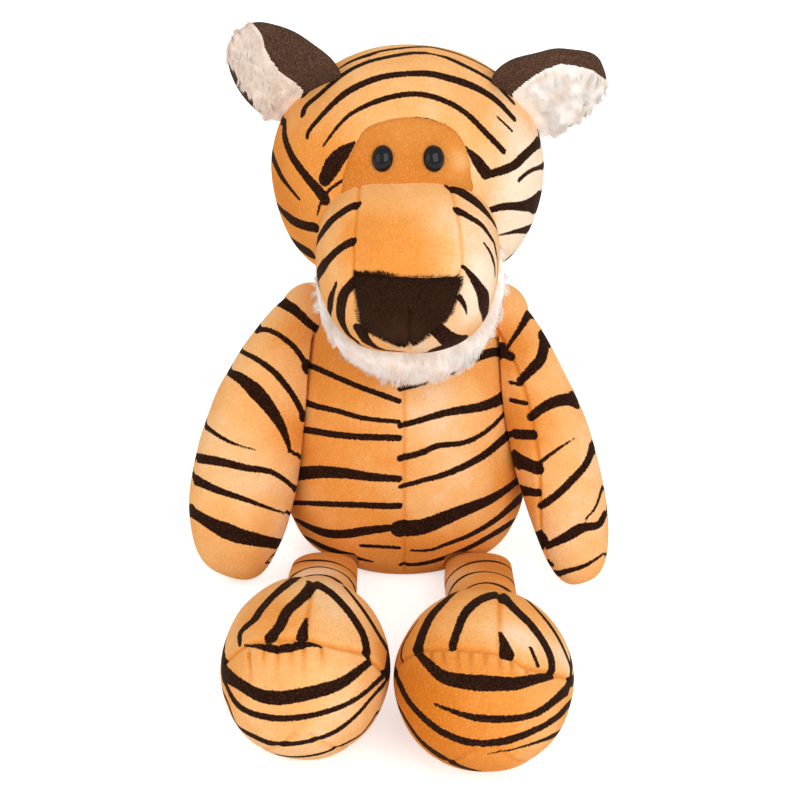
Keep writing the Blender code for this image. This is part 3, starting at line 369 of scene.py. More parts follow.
def foot(ankle, middle_x, half_width):
    full_z = FOOT_HALF_HEIGHT - FLOOR_CUT

    def form(u, v):
        share = 0.5 * (1.0 - np.cos(math.pi * u))
        across = np.maximum(np.sin(math.pi * u), 0.0) ** FOOT_FULL_POWER
        middle_z = ANKLE_Z + (full_z - ANKLE_Z) * ease(2.0 * share)
        taper = 1.0 - FOOT_BACK_TAPER_SHARE * (1.0 - share) ** 2
        x = middle_x + half_width * across * taper * np.cos(TURN * v)
        z = middle_z + FOOT_HALF_HEIGHT * across * np.sin(TURN * v)
        return stacked(x, ankle[1] - 2.0 * FOOT_HALF_LENGTH * share, np.maximum(z, 0.0))

    return form


def tail(u, v):
    turn_radius = TAIL_LENGTH / TAIL_CURL
    share = np.clip((u - TAIL_END_SHARE) / (1.0 - 2.0 * TAIL_END_SHARE), 0.0, 1.0)
    angle = TAIL_CURL * share
    radius = TAIL_ROOT_RADIUS + (TAIL_RADIUS - TAIL_ROOT_RADIUS) * ease(share / TAIL_TAPER_SHARE)
    along = stacked(np.sin(angle), np.cos(angle), 0.0)
    side = stacked(np.cos(angle), -np.sin(angle), 0.0)
    centre = TAIL_ROOT + stacked(turn_radius * (1.0 - np.cos(angle)), turn_radius * np.sin(angle), 0.0)
    past = np.clip(np.maximum(TAIL_END_SHARE - u, u - 1.0 + TAIL_END_SHARE) / TAIL_END_SHARE, 0.0, 1.0)
    outward = np.where(u < 0.5, -1.0, 1.0) * radius * np.sin(QUARTER * past)
    ring = radius * np.cos(QUARTER * past)
    points = centre + along * outward[..., None] + side * (ring * np.cos(TURN * v))[..., None]
    points[..., 2] += ring * np.sin(TURN * v)
    return points


# Strokes: where stripes, seams, sprayed-on tone and painted light and shade show in the photograph, in
# pixels.
# A stripe also has its widths along it.

HEAD_STRIPES = (
    (((304, 95), (316, 84), (343, 65), (374, 52.5), (402, 47.5), (423, 46.5), (438, 48.5), (463, 56.5),
      (488, 68.5), (497, 76)), (3, 3, 2)),
    (((303, 114), (306, 106), (319, 94.5), (341, 76), (366, 63), (399, 54.7), (419, 52.7), (440, 55.6),
      (473, 70.5), (493, 82), (506, 94.5), (513.5, 102)), (4, 3, 2.5)),
    (((308, 137.6), (309.5, 131), (326, 111), (344, 94.5), (366, 83), (391, 75.5), (424, 73), (446, 77),
      (473, 86), (496, 99.5), (514, 118)), (3, 6, 5, 6, 4)),
    (((323.5, 146), (333, 133), (349, 116), (374, 103), (399, 95.4), (422, 94), (446, 101), (466, 113),
      (486, 133), (503.5, 151)), (2, 5, 5, 5)),
    (((409, 118.6), (424, 118), (437, 122), (445, 124.4)), (1.5, 1.5)),
    (((498, 117), (505, 124), (512, 131)), (2, 2)),
    (((284.6, 122.7), (285.4, 137.6), (293, 157.5), (306, 176), (319, 191), (325, 199)), (3, 6, 9)),
    (((274, 159), (280, 174), (288, 186), (299.5, 199)), (4, 2)),
    (((273, 199), (281, 210.6), (293, 220.6), (306, 225.5), (316, 227)), (2, 5, 8)),
    (((291, 241), (299.5, 247), (310, 253)), (6, 6)),
    (((354, 143), (344, 152), (334, 163), (325, 179)), (3, 13, 16, 12)),
    (((372.5, 175), (349, 178), (333, 187), (323, 199), (318, 214)), (2, 3, 3, 2)),
    (((465.4, 147), (475, 158), (486, 173)), (2, 9, 11)),
    (((486, 175), (496, 172.5), (513, 166), (524, 156), (539, 142)), (7, 8, 7, 5)),
    (((519, 180), (529, 171.6), (543, 166)), (3, 3)),
    (((487, 211), (504, 206.5), (524, 205.6), (545, 200)), (5, 7, 10)),
    (((497, 236), (516, 231), (538, 228)), (1, 3, 5)),
    (((509, 258), (518, 252)), (4, 2)),
)
SNOUT_STRIPES = (
    (((357, 204.5), (346, 209.5), (331, 221), (320, 236), (314, 251), (312, 262.5)), (6, 5, 3)),
    (((353, 241), (341, 247.6), (330, 257.5), (320, 271), (316, 284), (315, 294)), (7, 5, 3)),
    (((336, 283), (330.6, 299), (329, 314), (333, 325.5)), (2, 4, 2)),
    (((356, 280), (345, 292), (340.5, 306), (341, 321), (348, 334), (356, 340.5)), (9, 8, 5, 3)),
    (((360, 330), (366, 340.5), (375, 347)), (9, 6, 3)),
    (((452.5, 186), (466, 194.5), (479, 204.5), (489, 216), (493, 222)), (8, 7, 3)),
    (((457, 209.5), (471, 218), (482, 226), (491, 238)), (6, 4, 2)),
    (((484, 243), (491, 254), (495, 266), (495.6, 276)), (1.5, 2, 1.5)),
    (((463, 266), (472, 277), (481, 292), (485, 306), (485, 318)), (3, 7, 8, 4)),
    (((459, 297), (464, 304), (467, 314)), (6, 4, 1)),
    (((436, 328), (446, 337), (458, 345)), (13, 13, 10)),
)
SNOUT_SEAMS = (
    ((360, 180), (357, 205), (353, 240), (353, 273)),
    ((450, 186), (457, 209), (461, 231), (463, 262), (459, 276)),
    ((409, 344), (410, 354)),
)
TORSO_RIGHT_STRIPES = (
    (((255, 322), (270, 330), (290, 345), (302, 361.5), (321, 370), (346, 381), (371, 391), (399, 401)),
     (5, 5, 5)),
    (((255, 372), (275, 383), (295, 396), (313, 405), (338, 411), (363, 418), (399, 422)), (8, 5, 4)),
    (((255, 420), (290, 427), (313, 431), (338, 435), (363, 437), (399, 438)), (6, 6, 6)),
    (((262, 474), (297, 473.5), (321, 472), (346, 473.5), (371, 477), (399, 479)), (15, 12, 9, 6)),
    (((270, 503), (305, 503), (330, 504), (355, 505), (380, 506), (399, 506)), (3, 5, 6)),
    (((292, 518), (307, 526), (326, 533), (346, 534), (366, 531), (399, 527)), (1.5, 7, 8, 6)),
    (((294, 531), (308, 539), (321, 546), (338, 552), (360, 559), (373, 562)), (1.5, 4, 4, 1.5)),
    (((361, 546), (380, 547), (399, 548)), (3, 3)),
)
TORSO_LEFT_STRIPES = (
    (((400, 389), (413, 386), (426, 383)), (5, 3)),
    (((452, 371), (467, 361.5), (479, 356.5), (496, 352), (510, 355)), (7, 8, 8)),
    (((400, 426), (421, 420), (437, 415), (454, 411), (479, 407), (496, 401), (509, 393)), (5, 7, 10)),
    (((400, 458.5), (421, 453), (437, 446), (462, 443), (479, 436), (494, 424.5), (507, 410)), (6, 5, 3)),
    (((400, 487), (421, 481), (446, 474), (471, 463), (487, 453), (501, 441), (512, 431)), (4, 6, 7)),
    (((400, 529), (421, 527), (437.5, 521), (462, 511), (487, 501), (504, 491), (517, 481)),
     (15, 13, 9, 4)),
    (((411, 550.5), (429, 550), (446, 544), (471, 534), (496, 519), (519, 499)), (2, 4, 5)),
    (((401, 565), (421, 564), (446, 557), (471, 546), (496, 532), (520, 517)), (3, 4, 4)),
)
RIGHT_ARM_STRIPES = (
    (((282, 302), (296, 311), (311, 325), (323, 333)), (10, 8, 6)),
    (((255, 330), (268, 330), (282, 337), (294, 347), (303, 359), (312, 374)), (4, 5, 5)),
    (((241, 351), (258, 360), (274, 372), (288, 388), (296, 400), (304, 416)), (4, 6, 5)),
    (((229, 372), (243, 380), (260, 396), (272, 411), (282, 427), (288, 443), (289, 451)), (7, 14, 10, 3)),
    (((206, 427), (221, 437), (237, 445), (256, 450)), (4, 3, 1)),
    (((198, 458), (221, 462), (247, 468), (268, 471), (282, 478), (294, 488), (302, 496)), (9, 7, 5, 3)),
    (((196, 480), (217, 490), (241, 498), (262, 505.5), (284, 513)), (8, 5, 2)),
    (((194, 513), (213, 525), (237, 535), (262, 541), (282, 545), (298, 551)), (7, 15, 11, 6)),
    (((271, 568), (285, 565)), (3, 3)),
)
LEFT_ARM_STRIPES = (
    (((528, 315), (521, 327), (513, 339), (506.5, 349)), (7, 5, 3)),
    (((545, 339), (541, 358), (531, 370), (521, 380)), (8, 10, 8)),
    (((581, 400), (562, 400), (545, 406.5), (531, 417)), (12, 10, 8)),
    (((575, 438), (558, 449), (539, 463)), (1, 3, 4)),
    (((594, 443), (586, 464), (572, 480), (555.5, 496), (540, 506.5)), (5, 7, 7)),
    (((602, 488), (596, 506.5), (586, 519)), (2, 2)),
    (((604.5, 515), (598, 525), (582, 528), (566, 537), (545, 547)), (4, 10, 6)),
    (((601, 555.5), (586, 565), (570, 570), (555.5, 574)), (2, 4, 5)),
    (((498, 351), (511, 356.5)), (8, 8)),
    (((510, 382), (521, 385)), (3, 3)),
    (((511, 400), (526, 403.5)), (4, 4)),
    (((515, 434), (533, 435)), (9, 9)),
    (((516, 460), (538, 469)), (11, 11)),
    (((519, 490), (538, 493)), (7, 7)),
    (((528, 540), (542, 539)), (14, 14)),
    (((543, 570), (551, 565)), (6, 6)),
)
LEFT_ARM_SEAMS = (
    ((492, 323), (506.5, 349), (520, 378), (529, 411), (536, 447), (539, 484), (540, 525), (545, 551),
     (555, 574)),
)
RIGHT_FOOT_STRIPES = (
    (((313, 571), (295, 578), (273.5, 595), (261, 609), (254, 620), (241, 632), (240, 644)), (4, 5, 6, 3)),
    (((319, 571), (335, 578), (353, 597), (368, 616.5), (381, 638), (388, 653), (386, 673)), (1, 3, 5)),
    (((313, 584), (299.5, 600), (287, 612), (280, 626), (270, 638)), (8, 9, 9)),
    (((313, 581), (330, 592), (344, 606), (355, 620), (364, 636), (368, 655)), (5, 6, 6)),
    (((307, 617), (304, 628), (302, 637)), (2, 7, 11)),
    (((244, 645), (258, 646), (276.5, 649), (295, 646), (307, 644), (322, 646)), (2, 7, 8, 2)),
    (((224, 673), (240, 685), (258, 695), (276.5, 698), (295, 696), (322, 690), (345, 681), (371, 661)),
     (7, 13, 12, 6)),
    (((224.5, 682), (235, 702), (250.5, 713), (272, 718), (292, 718), (319, 714), (345, 705), (365, 693),
      (381, 678)), (2, 6, 5, 3)),
    (((228, 702), (238, 725), (257, 737.5), (273.5, 744), (295, 744), (319, 739), (338, 731), (356, 716),
      (371, 699), (384, 684)), (2, 4, 4, 2)),
    (((270, 753), (292, 757), (315, 755), (338, 748), (358, 737.5), (368, 727), (376, 714.5)), (2, 2)),
)
RIGHT_FOOT_SEAMS = (
    ((314, 570), (312.5, 584), (307, 620), (305.6, 638)),
    ((225, 662), (243, 647), (263, 641), (298, 638), (307, 638), (327, 644), (365, 653), (373, 661),
     (386, 675)),
)
RIGHT_FOOT_PLEATS = (
    ((248, 652), (250, 687)), ((264, 645), (262, 670)), ((278, 644), (275, 684)), ((291, 641), (291, 668)),
    ((304, 641), (304, 688)), ((322, 646), (324, 668)),
)
LEFT_FOOT_STRIPES = (
    (((485, 579), (469, 583), (450, 596), (434, 613), (425, 629), (417.5, 648)), (1, 5, 8)),
    (((500, 593), (482, 599), (466, 612), (458, 629), (452, 647)), (5, 7, 7)),
    (((500, 594), (515.5, 609), (531.5, 624.5), (544, 642), (551, 658), (552, 672)), (6, 6, 6)),
    (((500, 630), (504, 642), (507, 654)), (2, 7, 13)),
    (((531, 648), (538, 666)), (3, 3)),
    (((417, 652), (428, 664), (444, 677), (468, 682), (492, 683.5), (515.5, 683.5), (536, 679),
      (552, 675.5)), (6, 12, 15, 12, 7)),
    (((434, 704), (452, 711), (472.5, 717), (500, 719), (523.5, 717), (543, 709), (566.5, 690)),
     (2, 7, 6, 6)),
    (((397.5, 679), (407, 699), (423, 717), (444, 733), (468, 742.5), (492, 743), (515.5, 738),
      (539, 728), (559, 715), (570.5, 703)), (3, 6, 7, 3)),
    (((394, 698), (407, 722), (423, 742.5), (444, 758), (464.5, 768), (488, 773), (507.5, 771)), (2, 5, 2)),
    (((488, 754), (507.5, 750.5), (531.5, 744), (552, 736), (565, 728)), (1, 3)),
    (((503, 581.5), (523.5, 597), (543, 616.5), (555, 632.5), (563, 648), (570, 668), (570, 683.5)),
     (1, 3, 3)),
    (((418, 620), (407, 636), (402, 648), (401, 663)), (1, 2, 1)),
)
LEFT_FOOT_SEAMS = (
    ((500, 582), (500, 596), (499.6, 629), (500, 650)),
    ((398, 664), (410, 655), (421.5, 650), (448.6, 648), (469, 649), (490, 651), (512, 658), (523.5, 666),
     (545, 672), (568, 678)),
)
LEFT_FOOT_PLEATS = (
    ((430, 650), (431, 672)), ((442, 649), (444, 676)), ((457, 649), (457, 680)), ((470, 650), (470, 684)),
    ((485, 651), (485, 674)), ((500, 654), (501, 690)), ((512, 659), (513, 685)), ((527, 668), (529, 690)),
)
TAIL_RING_SHARES = (0.16, 0.26, 0.35, 0.44, 0.53, 0.62, 0.70)  # where the tail's rings lie along it
LEG_RING_SHARES = (0.36, 0.50, 0.63)
HEAD_BAR_SHARES = (0.36, 0.47, 0.58, 0.69, 0.80)
TORSO_BAR_SHARES = (
    (0.69, 0.15, 0.25), (0.60, 0.13, 0.25), (0.51, 0.16, 0.25), (0.72, 0.25, 0.35), (0.64, 0.25, 0.37),
    (0.53, 0.25, 0.34),
)  # height and reach round the back of the torso's invented bars
STRIPE_GAIN = 1.12
ENDING_WIDTH = 2.0  # a stripe narrower than this at its end doesn't go on
# Spots of tone, partly the toy's sprayed-on tone and partly painted light and shade: centre in pixels, radius
# in pixels, and how pale (positive) or deep (negative) it is
# Head: paler on the cheek to the frame's right and deeper on the left cheek, partly painted light and shade
HEAD_SPOTS = (
    ((400, 92), 80, 0.2), ((285, 195), 55, -0.75), ((300, 130), 35, -0.15), ((545, 200), 75, 1.0),
    ((525, 150), 45, 0.5), ((478, 125), 35, -0.1), ((500, 250), 40, 0.5), ((345, 165), 30, -0.5),
    ((470, 165), 18, 0.3),
)
# Snout: paler on its side to the frame's right and at the chin, partly painted light
SNOUT_SPOTS = (
    ((360, 235), 26, -0.4), ((405, 264), 38, -0.5), ((400, 215), 30, -0.2), ((482, 240), 48, 0.5),
    ((482, 295), 34, 0.95), ((443, 220), 22, 0.25), ((420, 347), 26, 0.6), ((335, 268), 25, 0.1),
    ((405, 186), 30, 0.1),
)
# Torso: painted light under the chin, painted shade where the arms meet the torso and low on the belly
TORSO_SPOTS = (
    ((430, 400), 38, 0.55), ((460, 455), 52, 0.45), ((440, 505), 32, 0.3), ((328, 362), 32, -0.5),
    ((300, 450), 26, -0.3), ((345, 440), 40, -0.1), ((420, 562), 45, -0.35), ((518, 470), 24, -0.7),
    ((350, 510), 40, -0.05),
)
# Right arm: painted light on the paw's shaded inner side, painted shade where the arm meets the torso
RIGHT_ARM_SPOTS = (
    ((262, 318), 20, 0.3), ((283, 530), 24, 0.3), ((235, 558), 34, -0.3), ((295, 430), 24, -0.6),
    ((222, 480), 40, 0.15), ((290, 340), 24, -0.35),
)
# Left arm: painted shade in the crease where the arm meets the torso
LEFT_ARM_SPOTS = (
    ((518, 430), 32, -1.0), ((510, 350), 26, -0.8), ((575, 470), 50, 0.15), ((530, 500), 22, -0.6),
)
RIGHT_FOOT_SPOTS = (
    ((286, 625), 28, -0.5), ((328, 612), 24, 0.2), ((232, 672), 28, -0.4), ((384, 660), 20, -0.6),
    ((300, 740), 45, 0.12), ((300, 706), 25, -0.25), ((258, 610), 22, -0.3),
)
LEFT_FOOT_SPOTS = (
    ((478, 622), 34, 0.35), ((522, 640), 26, 0.5), ((564, 655), 28, 0.75), ((405, 690), 42, -0.8),
    ((438, 705), 42, -0.75), ((440, 752), 42, -0.65), ((545, 735), 36, 0.15), ((500, 700), 30, -0.1),
)
# Legs: painted light on the leg in the belly's shade, painted shade on the other
LEG_SPOTS = (((322, 570), 45, 1.0), ((485, 568), 50, -0.35))
# Nose: painted highlights, paler at its lower edge and its sides, where light shows the dome
NOSE_HIGHLIGHTS = (((405, 338), 22, 2.2), ((365, 310), 14, 0.6), ((450, 305), 14, 0.4))
# Face patch: painted shade above the snout, where the snout overlaps it, and a paler spot to the frame's
# right
PATCH_SPOTS = (
    ((460, 160), 18, 0.8), ((350, 175), 25, -0.3), ((408, 120), 30, 0.25), ((408, 172), 40, -0.15),
)
BRIDGE_OUTLINE = (
    (361, 150), (357, 205), (353, 240), (353, 276), (459, 278), (463, 262), (461, 231), (457, 209),
    (450, 186), (450, 150),
)
NOSE_OUTLINE = (
    (354.6, 273.3), (379.5, 274), (406, 276.6), (429, 277.4), (457, 276.6), (461, 284), (457, 297),
    (451, 314), (439, 327), (424, 337), (411, 345), (396, 344), (379.5, 337), (365, 330.5), (360, 320.6),
    (357, 304), (355, 291),
)
NOSE_SEAMS = (((409.5, 308), (409, 330), (409, 346)),)
PATCH_OUTLINE = (
    (356, 142), (366, 128), (386, 120), (410, 117), (437, 121), (456, 131), (467, 150), (471, 172),
    (462, 198), (352, 200), (342, 184), (347, 162),
)
RIGHT_EAR_FUR_OUTLINE = (
    (252, 23), (257, 28), (262, 36), (264, 46), (271, 60), (280, 72), (291, 79), (303, 90), (300, 108),
    (287, 121), (277, 138), (268, 118), (257, 105), (247, 93), (239, 80), (233, 66), (222, 52), (222, 36),
    (238, 20),
)
LEFT_EAR_FUR_OUTLINE = (
    (512, 94), (523, 84), (534, 76), (546, 69), (561, 64), (576, 66), (592, 70), (606, 80), (606, 110),
    (585, 145), (545, 155), (530, 140), (520, 118),
)

# Looks, in linear colour
PLUSH_DEEP = (0.62, 0.165, 0.008)
PLUSH = (0.81, 0.300, 0.056)
PLUSH_WARM = (0.90, 0.475, 0.180)
PLUSH_PALE = (0.95, 0.79, 0.60)
PLUSH_GRAIN = (0.93, 0.55, 0.24)
STRIPE_BROWN = (0.014, 0.0045, 0.002)
STRIPE_LIGHT = (0.075, 0.026, 0.012)
NOSE_BROWN = ((0.014, 0.005, 0.002), (0.045, 0.019, 0.009))  # its dark and light grain
EAR_BROWN = ((0.045, 0.022, 0.013), (0.15, 0.080, 0.052))
FUR_WHITE = ((0.975, 0.945, 0.905), (0.92, 0.80, 0.70))  # its light and its shade
# The ear in shade: a warmer beige fur, partly its own colour and partly painted shade
FUR_BEIGE_SHADED = ((0.95, 0.83, 0.73), (0.86, 0.68, 0.56))
FILLING_WHITE = (0.8, 0.8, 0.78)
SEAM_ORANGE = (0.5, 0.2, 0.05)
WASHER_GREY = (0.7, 0.7, 0.68)
EYE_BLACK = (0.004, 0.004, 0.004)
DUST_GREY = (0.12, 0.11, 0.10)
PLUSH_SHEEN = (1.0, 0.72, 0.42, 1.0)
BROWN_SHEEN = (0.8, 0.6, 0.5, 1.0)
SHEEN_ROUGHNESS = 0.4
PILE_BUMP = 0.5 * MM
FINE_BUMP = 0.3 * MM


def pixel_ray(px, py):
    return unit(LOOK + SIDE * ((px - MIDDLE_PX) / FOCAL_PX) + UP * ((MIDDLE_PX - py) / FOCAL_PX))


def pixel_of(points):
    """Where points show in the photograph's frame."""
    offset = points - EYE_POINT
    depth = offset @ LOOK
    return MIDDLE_PX + FOCAL_PX * (offset @ SIDE) / depth, MIDDLE_PX - FOCAL_PX * (offset @ UP) / depth


def smooth_route(route, step):
    """A smooth line through a route's points, in even steps."""
    nodes = np.array(route, float)
    if len(nodes) > 2:
        before = 2 * nodes[0] - nodes[1]
        after = 2 * nodes[-1] - nodes[-2]
        padded_nodes = np.vstack((before, nodes, after))
        t = np.linspace(0, 1, 12, endpoint=False)[:, None]
        parts = []
        for a, b, c, d in zip(padded_nodes, padded_nodes[1:], padded_nodes[2:], padded_nodes[3:]):
            parts.append(0.5 * (2 * b + (c - a) * t + (2 * a - 5 * b + 4 * c - d) * t ** 2
                                + (3 * b - a - 3 * c + d) * t ** 3))
        nodes = np.vstack(parts + [nodes[-1:]])
    reach = np.concatenate(([0], np.cumsum(np.linalg.norm(np.diff(nodes, axis=0), axis=1))))
    count = max(int(reach[-1] / step), 2) + 1
    even = np.linspace(0, reach[-1], count)
    return np.stack([np.interp(even, reach, nodes[:, k]) for k in range(nodes.shape[1])], axis=1)


def inside_outline(px, py, outline):
    """Which points of the frame lie inside an outline."""
    inside = np.zeros(px.shape, bool)
    for (x0, y0), (x1, y1) in zip(outline, outline[1:] + outline[:1]):
        crosses = (y0 > py) != (y1 > py)
        if y0 != y1:
            inside ^= crosses & (px < (x1 - x0) * (py - y0) / (y1 - y0) + x0)
    return inside


def lumps(points, size, seed):
    """Soft unevenness between -1 and 1, with hollows and swellings of about this size."""
    rng = np.random.default_rng(seed)
    total = np.zeros(points.shape[:-1])
    for _ in range(5):
        direction = unit(rng.normal(size=3))
        total += np.sin(points @ direction * TURN / (size * rng.uniform(0.8, 1.6)) + rng.uniform(0, TURN))
    return total / 3.2


def tube_faces(rows, columns):
    """The faces between the rows of a grid whose last column joins its first."""
    index = np.arange(rows * columns).reshape(rows, columns)
    after = np.roll(index, -1, 1)
    return np.stack((index[:-1], after[:-1], after[1:], index[1:]), axis=-1)


def set_fields(mesh, stripe, tone):
    """Gives a mesh the two fields that the plush reads."""
    for label, values in (("stripe", stripe), ("tone", tone)):
        attribute = mesh.attributes.new(label, "FLOAT", "POINT")
        spread = np.broadcast_to(values, len(mesh.vertices)).astype(np.float32)
        attribute.data.foreach_set("value", spread)


class Skin:
    """A stuffed form as a fine closed grid, on which strokes are laid before it is cut into pieces."""

    def __init__(self, form, rows, columns, carry=0.25, stop=None, base=0.0, open_facing=0.45, sideways=0.0,
                 lengthwise=False):
        fine = np.linspace(0.0, 1.0, 600)
        path = form(*np.meshgrid(fine, np.arange(8) / 8, indexing="ij"))
        steps = np.linalg.norm(np.diff(path, axis=0), axis=2).mean(axis=1)
        reach = np.concatenate(([0.0], np.cumsum(steps)))
        self.us = np.interp(np.linspace(0.0, reach[-1], rows), reach, fine)
        self.vs = np.arange(columns) / columns
        self.form = form
        self.carry = carry
        self.stop = stop
        self.rows, self.columns = rows, columns
        u, v = np.meshgrid(self.us, self.vs, indexing="ij")
        self.u, self.v = u, v
        self.points = form(u, v)
        self.poles = [row for row in (0, -1) if np.ptp(self.points[row], axis=0).max() < 0.001 * MM]
        self.normals = self.find_normals()
        self.rest = self.points.reshape(-1, 3).copy()
        self.corner = tube_faces(rows, columns)
        self.tree = BVHTree.FromPolygons(self.rest.tolist(), self.corner.reshape(-1, 4).tolist())
        self.stripe = np.full(rows * columns, FAR)
        self.crease = np.zeros(rows * columns)
        self.tone = np.full(rows * columns, base)
        self.open = open_facing
        self.sideways = sideways
        self.lengthwise = lengthwise
        self.kept = np.ones(self.corner.shape[:2], bool)

    def find_normals(self):
        along = np.gradient(self.points, axis=0)
        around = np.roll(self.points, -1, 1) - np.roll(self.points, 1, 1)
        normals = unit(np.cross(around, along))
        out = self.points - self.points.mean(axis=1, keepdims=True)
        if (normals * out).sum() < 0:
            normals = -normals
        for row in self.poles:
            normals[row] = unit(normals[1 if row == 0 else -2].mean(axis=0))
        return normals

    def hit(self, px, py):
        """The point that a pixel shows, or the nearest to its line of sight, its face and if it shows."""
        ray = pixel_ray(px, py)
        found, _, face, _ = self.tree.ray_cast(Vector(EYE_POINT), Vector(ray))
        seen = found is not None
        if not seen:
            reach = (self.rest.mean(axis=0) - EYE_POINT) @ ray
            found, _, face, _ = self.tree.find_nearest(Vector(EYE_POINT + ray * reach))
        return np.array(found), face, seen

    def trace(self, route, widths):
        """A stroke on the form: its points, half widths and the face under each point."""
        line = smooth_route(route, TRACE_STEP_PX)
        across = unit(np.gradient(line, axis=0)[:, ::-1] * (1.0, -1.0))
        spans = np.interp(np.linspace(0, 1, len(line)), np.linspace(0, 1, len(widths)), widths)
        middles, halves, faces, shown = [], [], [], []
        for k, ((x, y), (nx, ny), width) in enumerate(zip(line, across, spans)):
            middle, face, seen = self.hit(x, y)
            if seen:
                shown.append(k)
            low = self.hit(x - 0.5 * width * nx, y - 0.5 * width * ny)[0]
            high = self.hit(x + 0.5 * width * nx, y + 0.5 * width * ny)[0]
            half = 0.5 * np.linalg.norm(high - low)
            middles.append(middle)
            least, most = (share * width * PX for share in WIDTH_LIMITS)
            halves.append(STRIPE_GAIN * min(max(half, least), most))
            faces.append(face)
        first, last = (shown[0], shown[-1] + 1) if len(shown) > 1 else (0, len(line))
        return np.array(middles[first:last]), np.array(halves[first:last]), faces[first:last]

    def carried(self, middle, half, face):
        """The same stripe carried on from its end round the side that the photograph doesn't show."""
        row, column = divmod(face, self.columns)
        facing = -(self.normals @ LOOK)
        if facing[row, column] > self.open or abs(self.normals[row, column, 0]) < self.sideways:
            return None
        step = max(self.columns // CARRY_STEPS, 1)
        ahead = facing[row, (column + 3 * step) % self.columns]
        behind = facing[row, (column - 3 * step) % self.columns]
        sign = 1 if ahead < behind else -1
        if self.stop is not None:
            turn = abs((self.vs[column] - self.stop + 0.5) % 1.0 - 0.5) - SEAM_GAP_SHARE
        else:
            turn = self.carry
        count = max(int(turn * self.columns / step), 2)
        wave = math.sin(37.0 * row / self.rows + 11.0 * column / self.columns)
        points, halves = [middle], [half]
        if self.lengthwise:
            step = max(self.rows // CARRY_STEPS, 1)
            count = int(self.carry * self.rows / step)
        for k in range(1, count + 1):
            share = k / count
            bend = 0.03 * wave * math.sin(QUARTER * share * 1.6)
            if self.lengthwise:
                at = max(row - k * step, 2), (column + int(self.columns * bend)) % self.columns
            else:
                across = (column + sign * k * step) % self.columns
                at = min(max(row + int(self.rows * bend), 1), self.rows - 2), across
            points.append(self.points[at])
            taper = 1.0 - share ** 2.5 * 0.8
            sway = 0.85 + 0.25 * math.sin(9.0 * share + row)
            halves.append(max(half, LEAST_CARRIED) * taper * sway)
        return np.array(points), np.array(halves)

    def spread(self, field, points, halves):
        """Keeps in field the least distance to a stroke's edge."""
        reach = SPREAD_REACH + halves.max()
        low, high = points.min(axis=0) - reach, points.max(axis=0) + reach
        near = np.flatnonzero(((self.rest > low) & (self.rest < high)).all(axis=1))
        if not len(near):
            return
        place = self.rest[near]
        best = field[near]
        for a, b, ha, hb in zip(points, points[1:], halves, halves[1:]):
            along = b - a
            size = along @ along
            t = np.clip(((place - a) @ along) / size, 0.0, 1.0) if size > 1e-14 else np.zeros(len(place))
            distance = np.linalg.norm(place - a - t[:, None] * along, axis=1) - (ha + (hb - ha) * t)
            best = np.minimum(best, distance)
        field[near] = best

    def paint(self, strokes):
        for route, widths in strokes:
            points, halves, faces = self.trace(route, widths)
            self.spread(self.stripe, points, halves)
            for end in (0, -1):
                if widths[end] < ENDING_WIDTH:
                    continue
                more = self.carried(points[end], halves[end], faces[end])
                if more:
                    self.spread(self.stripe, *more)

    def ring(self, share, half, seed, from_v=0.0, to_v=1.0, slant=0.0):
        """An invented ring round the form, or a bar that tapers to both its ends."""
        vs = np.linspace(from_v, to_v, 40)
        us = share + 0.012 * np.sin(TURN * vs * 2 + seed) + slant * np.cos(TURN * vs)
        halves = half * (0.8 + 0.25 * np.sin(TURN * vs * 3 + 2 * seed))
        if to_v - from_v < 1.0:
            ends = np.minimum(vs - from_v, to_v - vs) / (to_v - from_v)
            halves = halves * (0.1 + 0.9 * ease(3.0 * ends))
        self.spread(self.stripe, self.form(us, vs), halves)

    def seam(self, route, depth, width):
        """Presses a crease along a route of the frame."""
        points, _, _ = self.trace(route, (1.0, 1.0))
        self.press(points, depth, width)

    def pleat(self, route, depth, width):
        """Presses a fold that is deepest at the start of its route and fades along it."""
        points, _, _ = self.trace(route, (1.0, 1.0))
        count = len(points) - 1
        for k in range(count):
            share = k / count
            self.press(points[k:k + 2], depth * (1.0 - share) ** 1.5, width * (0.7 + 0.9 * share))

    def press(self, points, depth, width):
        field = np.full(len(self.rest), 4.0 * width)
        self.spread(field, points, np.zeros(len(points)))
        self.crease = np.minimum(self.crease, -depth * np.exp(-(field / width) ** 2))

    def turn_seam(self, v, depth, width, us=(0.01, 0.99)):
        """Presses a crease along the form's length."""
        line = np.linspace(us[0], us[1], 160)
        self.press(self.form(line, np.full(160, v)), depth, width)

    # Spots of paler or deeper tone, partly sprayed-on tone and partly painted light and shade
    def paint_tone_and_light(self, spots):
        for (px, py), radius, strength in spots:
            centre = self.hit(px, py)[0]
            distance = np.linalg.norm(self.rest - centre, axis=1) / (radius * PX)
            self.tone += strength * np.exp(-distance ** 2)

    def settle(self, height, size, seed):
        """Moves the points by their creases and by soft unevenness, and deepens the tone in the creases as
        painted shade.
        """
        flat = self.rest
        move = self.crease + height * lumps(flat, size, seed)
        # Painted shade: the tone goes deeper in the creases
        painted_crease_shade = np.clip(self.crease / FULL_CREASE, -1.0, 0.0) * CREASE_SHADE
        self.tone += painted_crease_shade + PATCH_TONE * lumps(flat, PATCH_SIZE, seed + 7)
        self.points = (flat + self.normals.reshape(-1, 3) * move[:, None]).reshape(self.points.shape)
        for row in self.poles:
            self.points[row] = self.points[row].mean(axis=0)

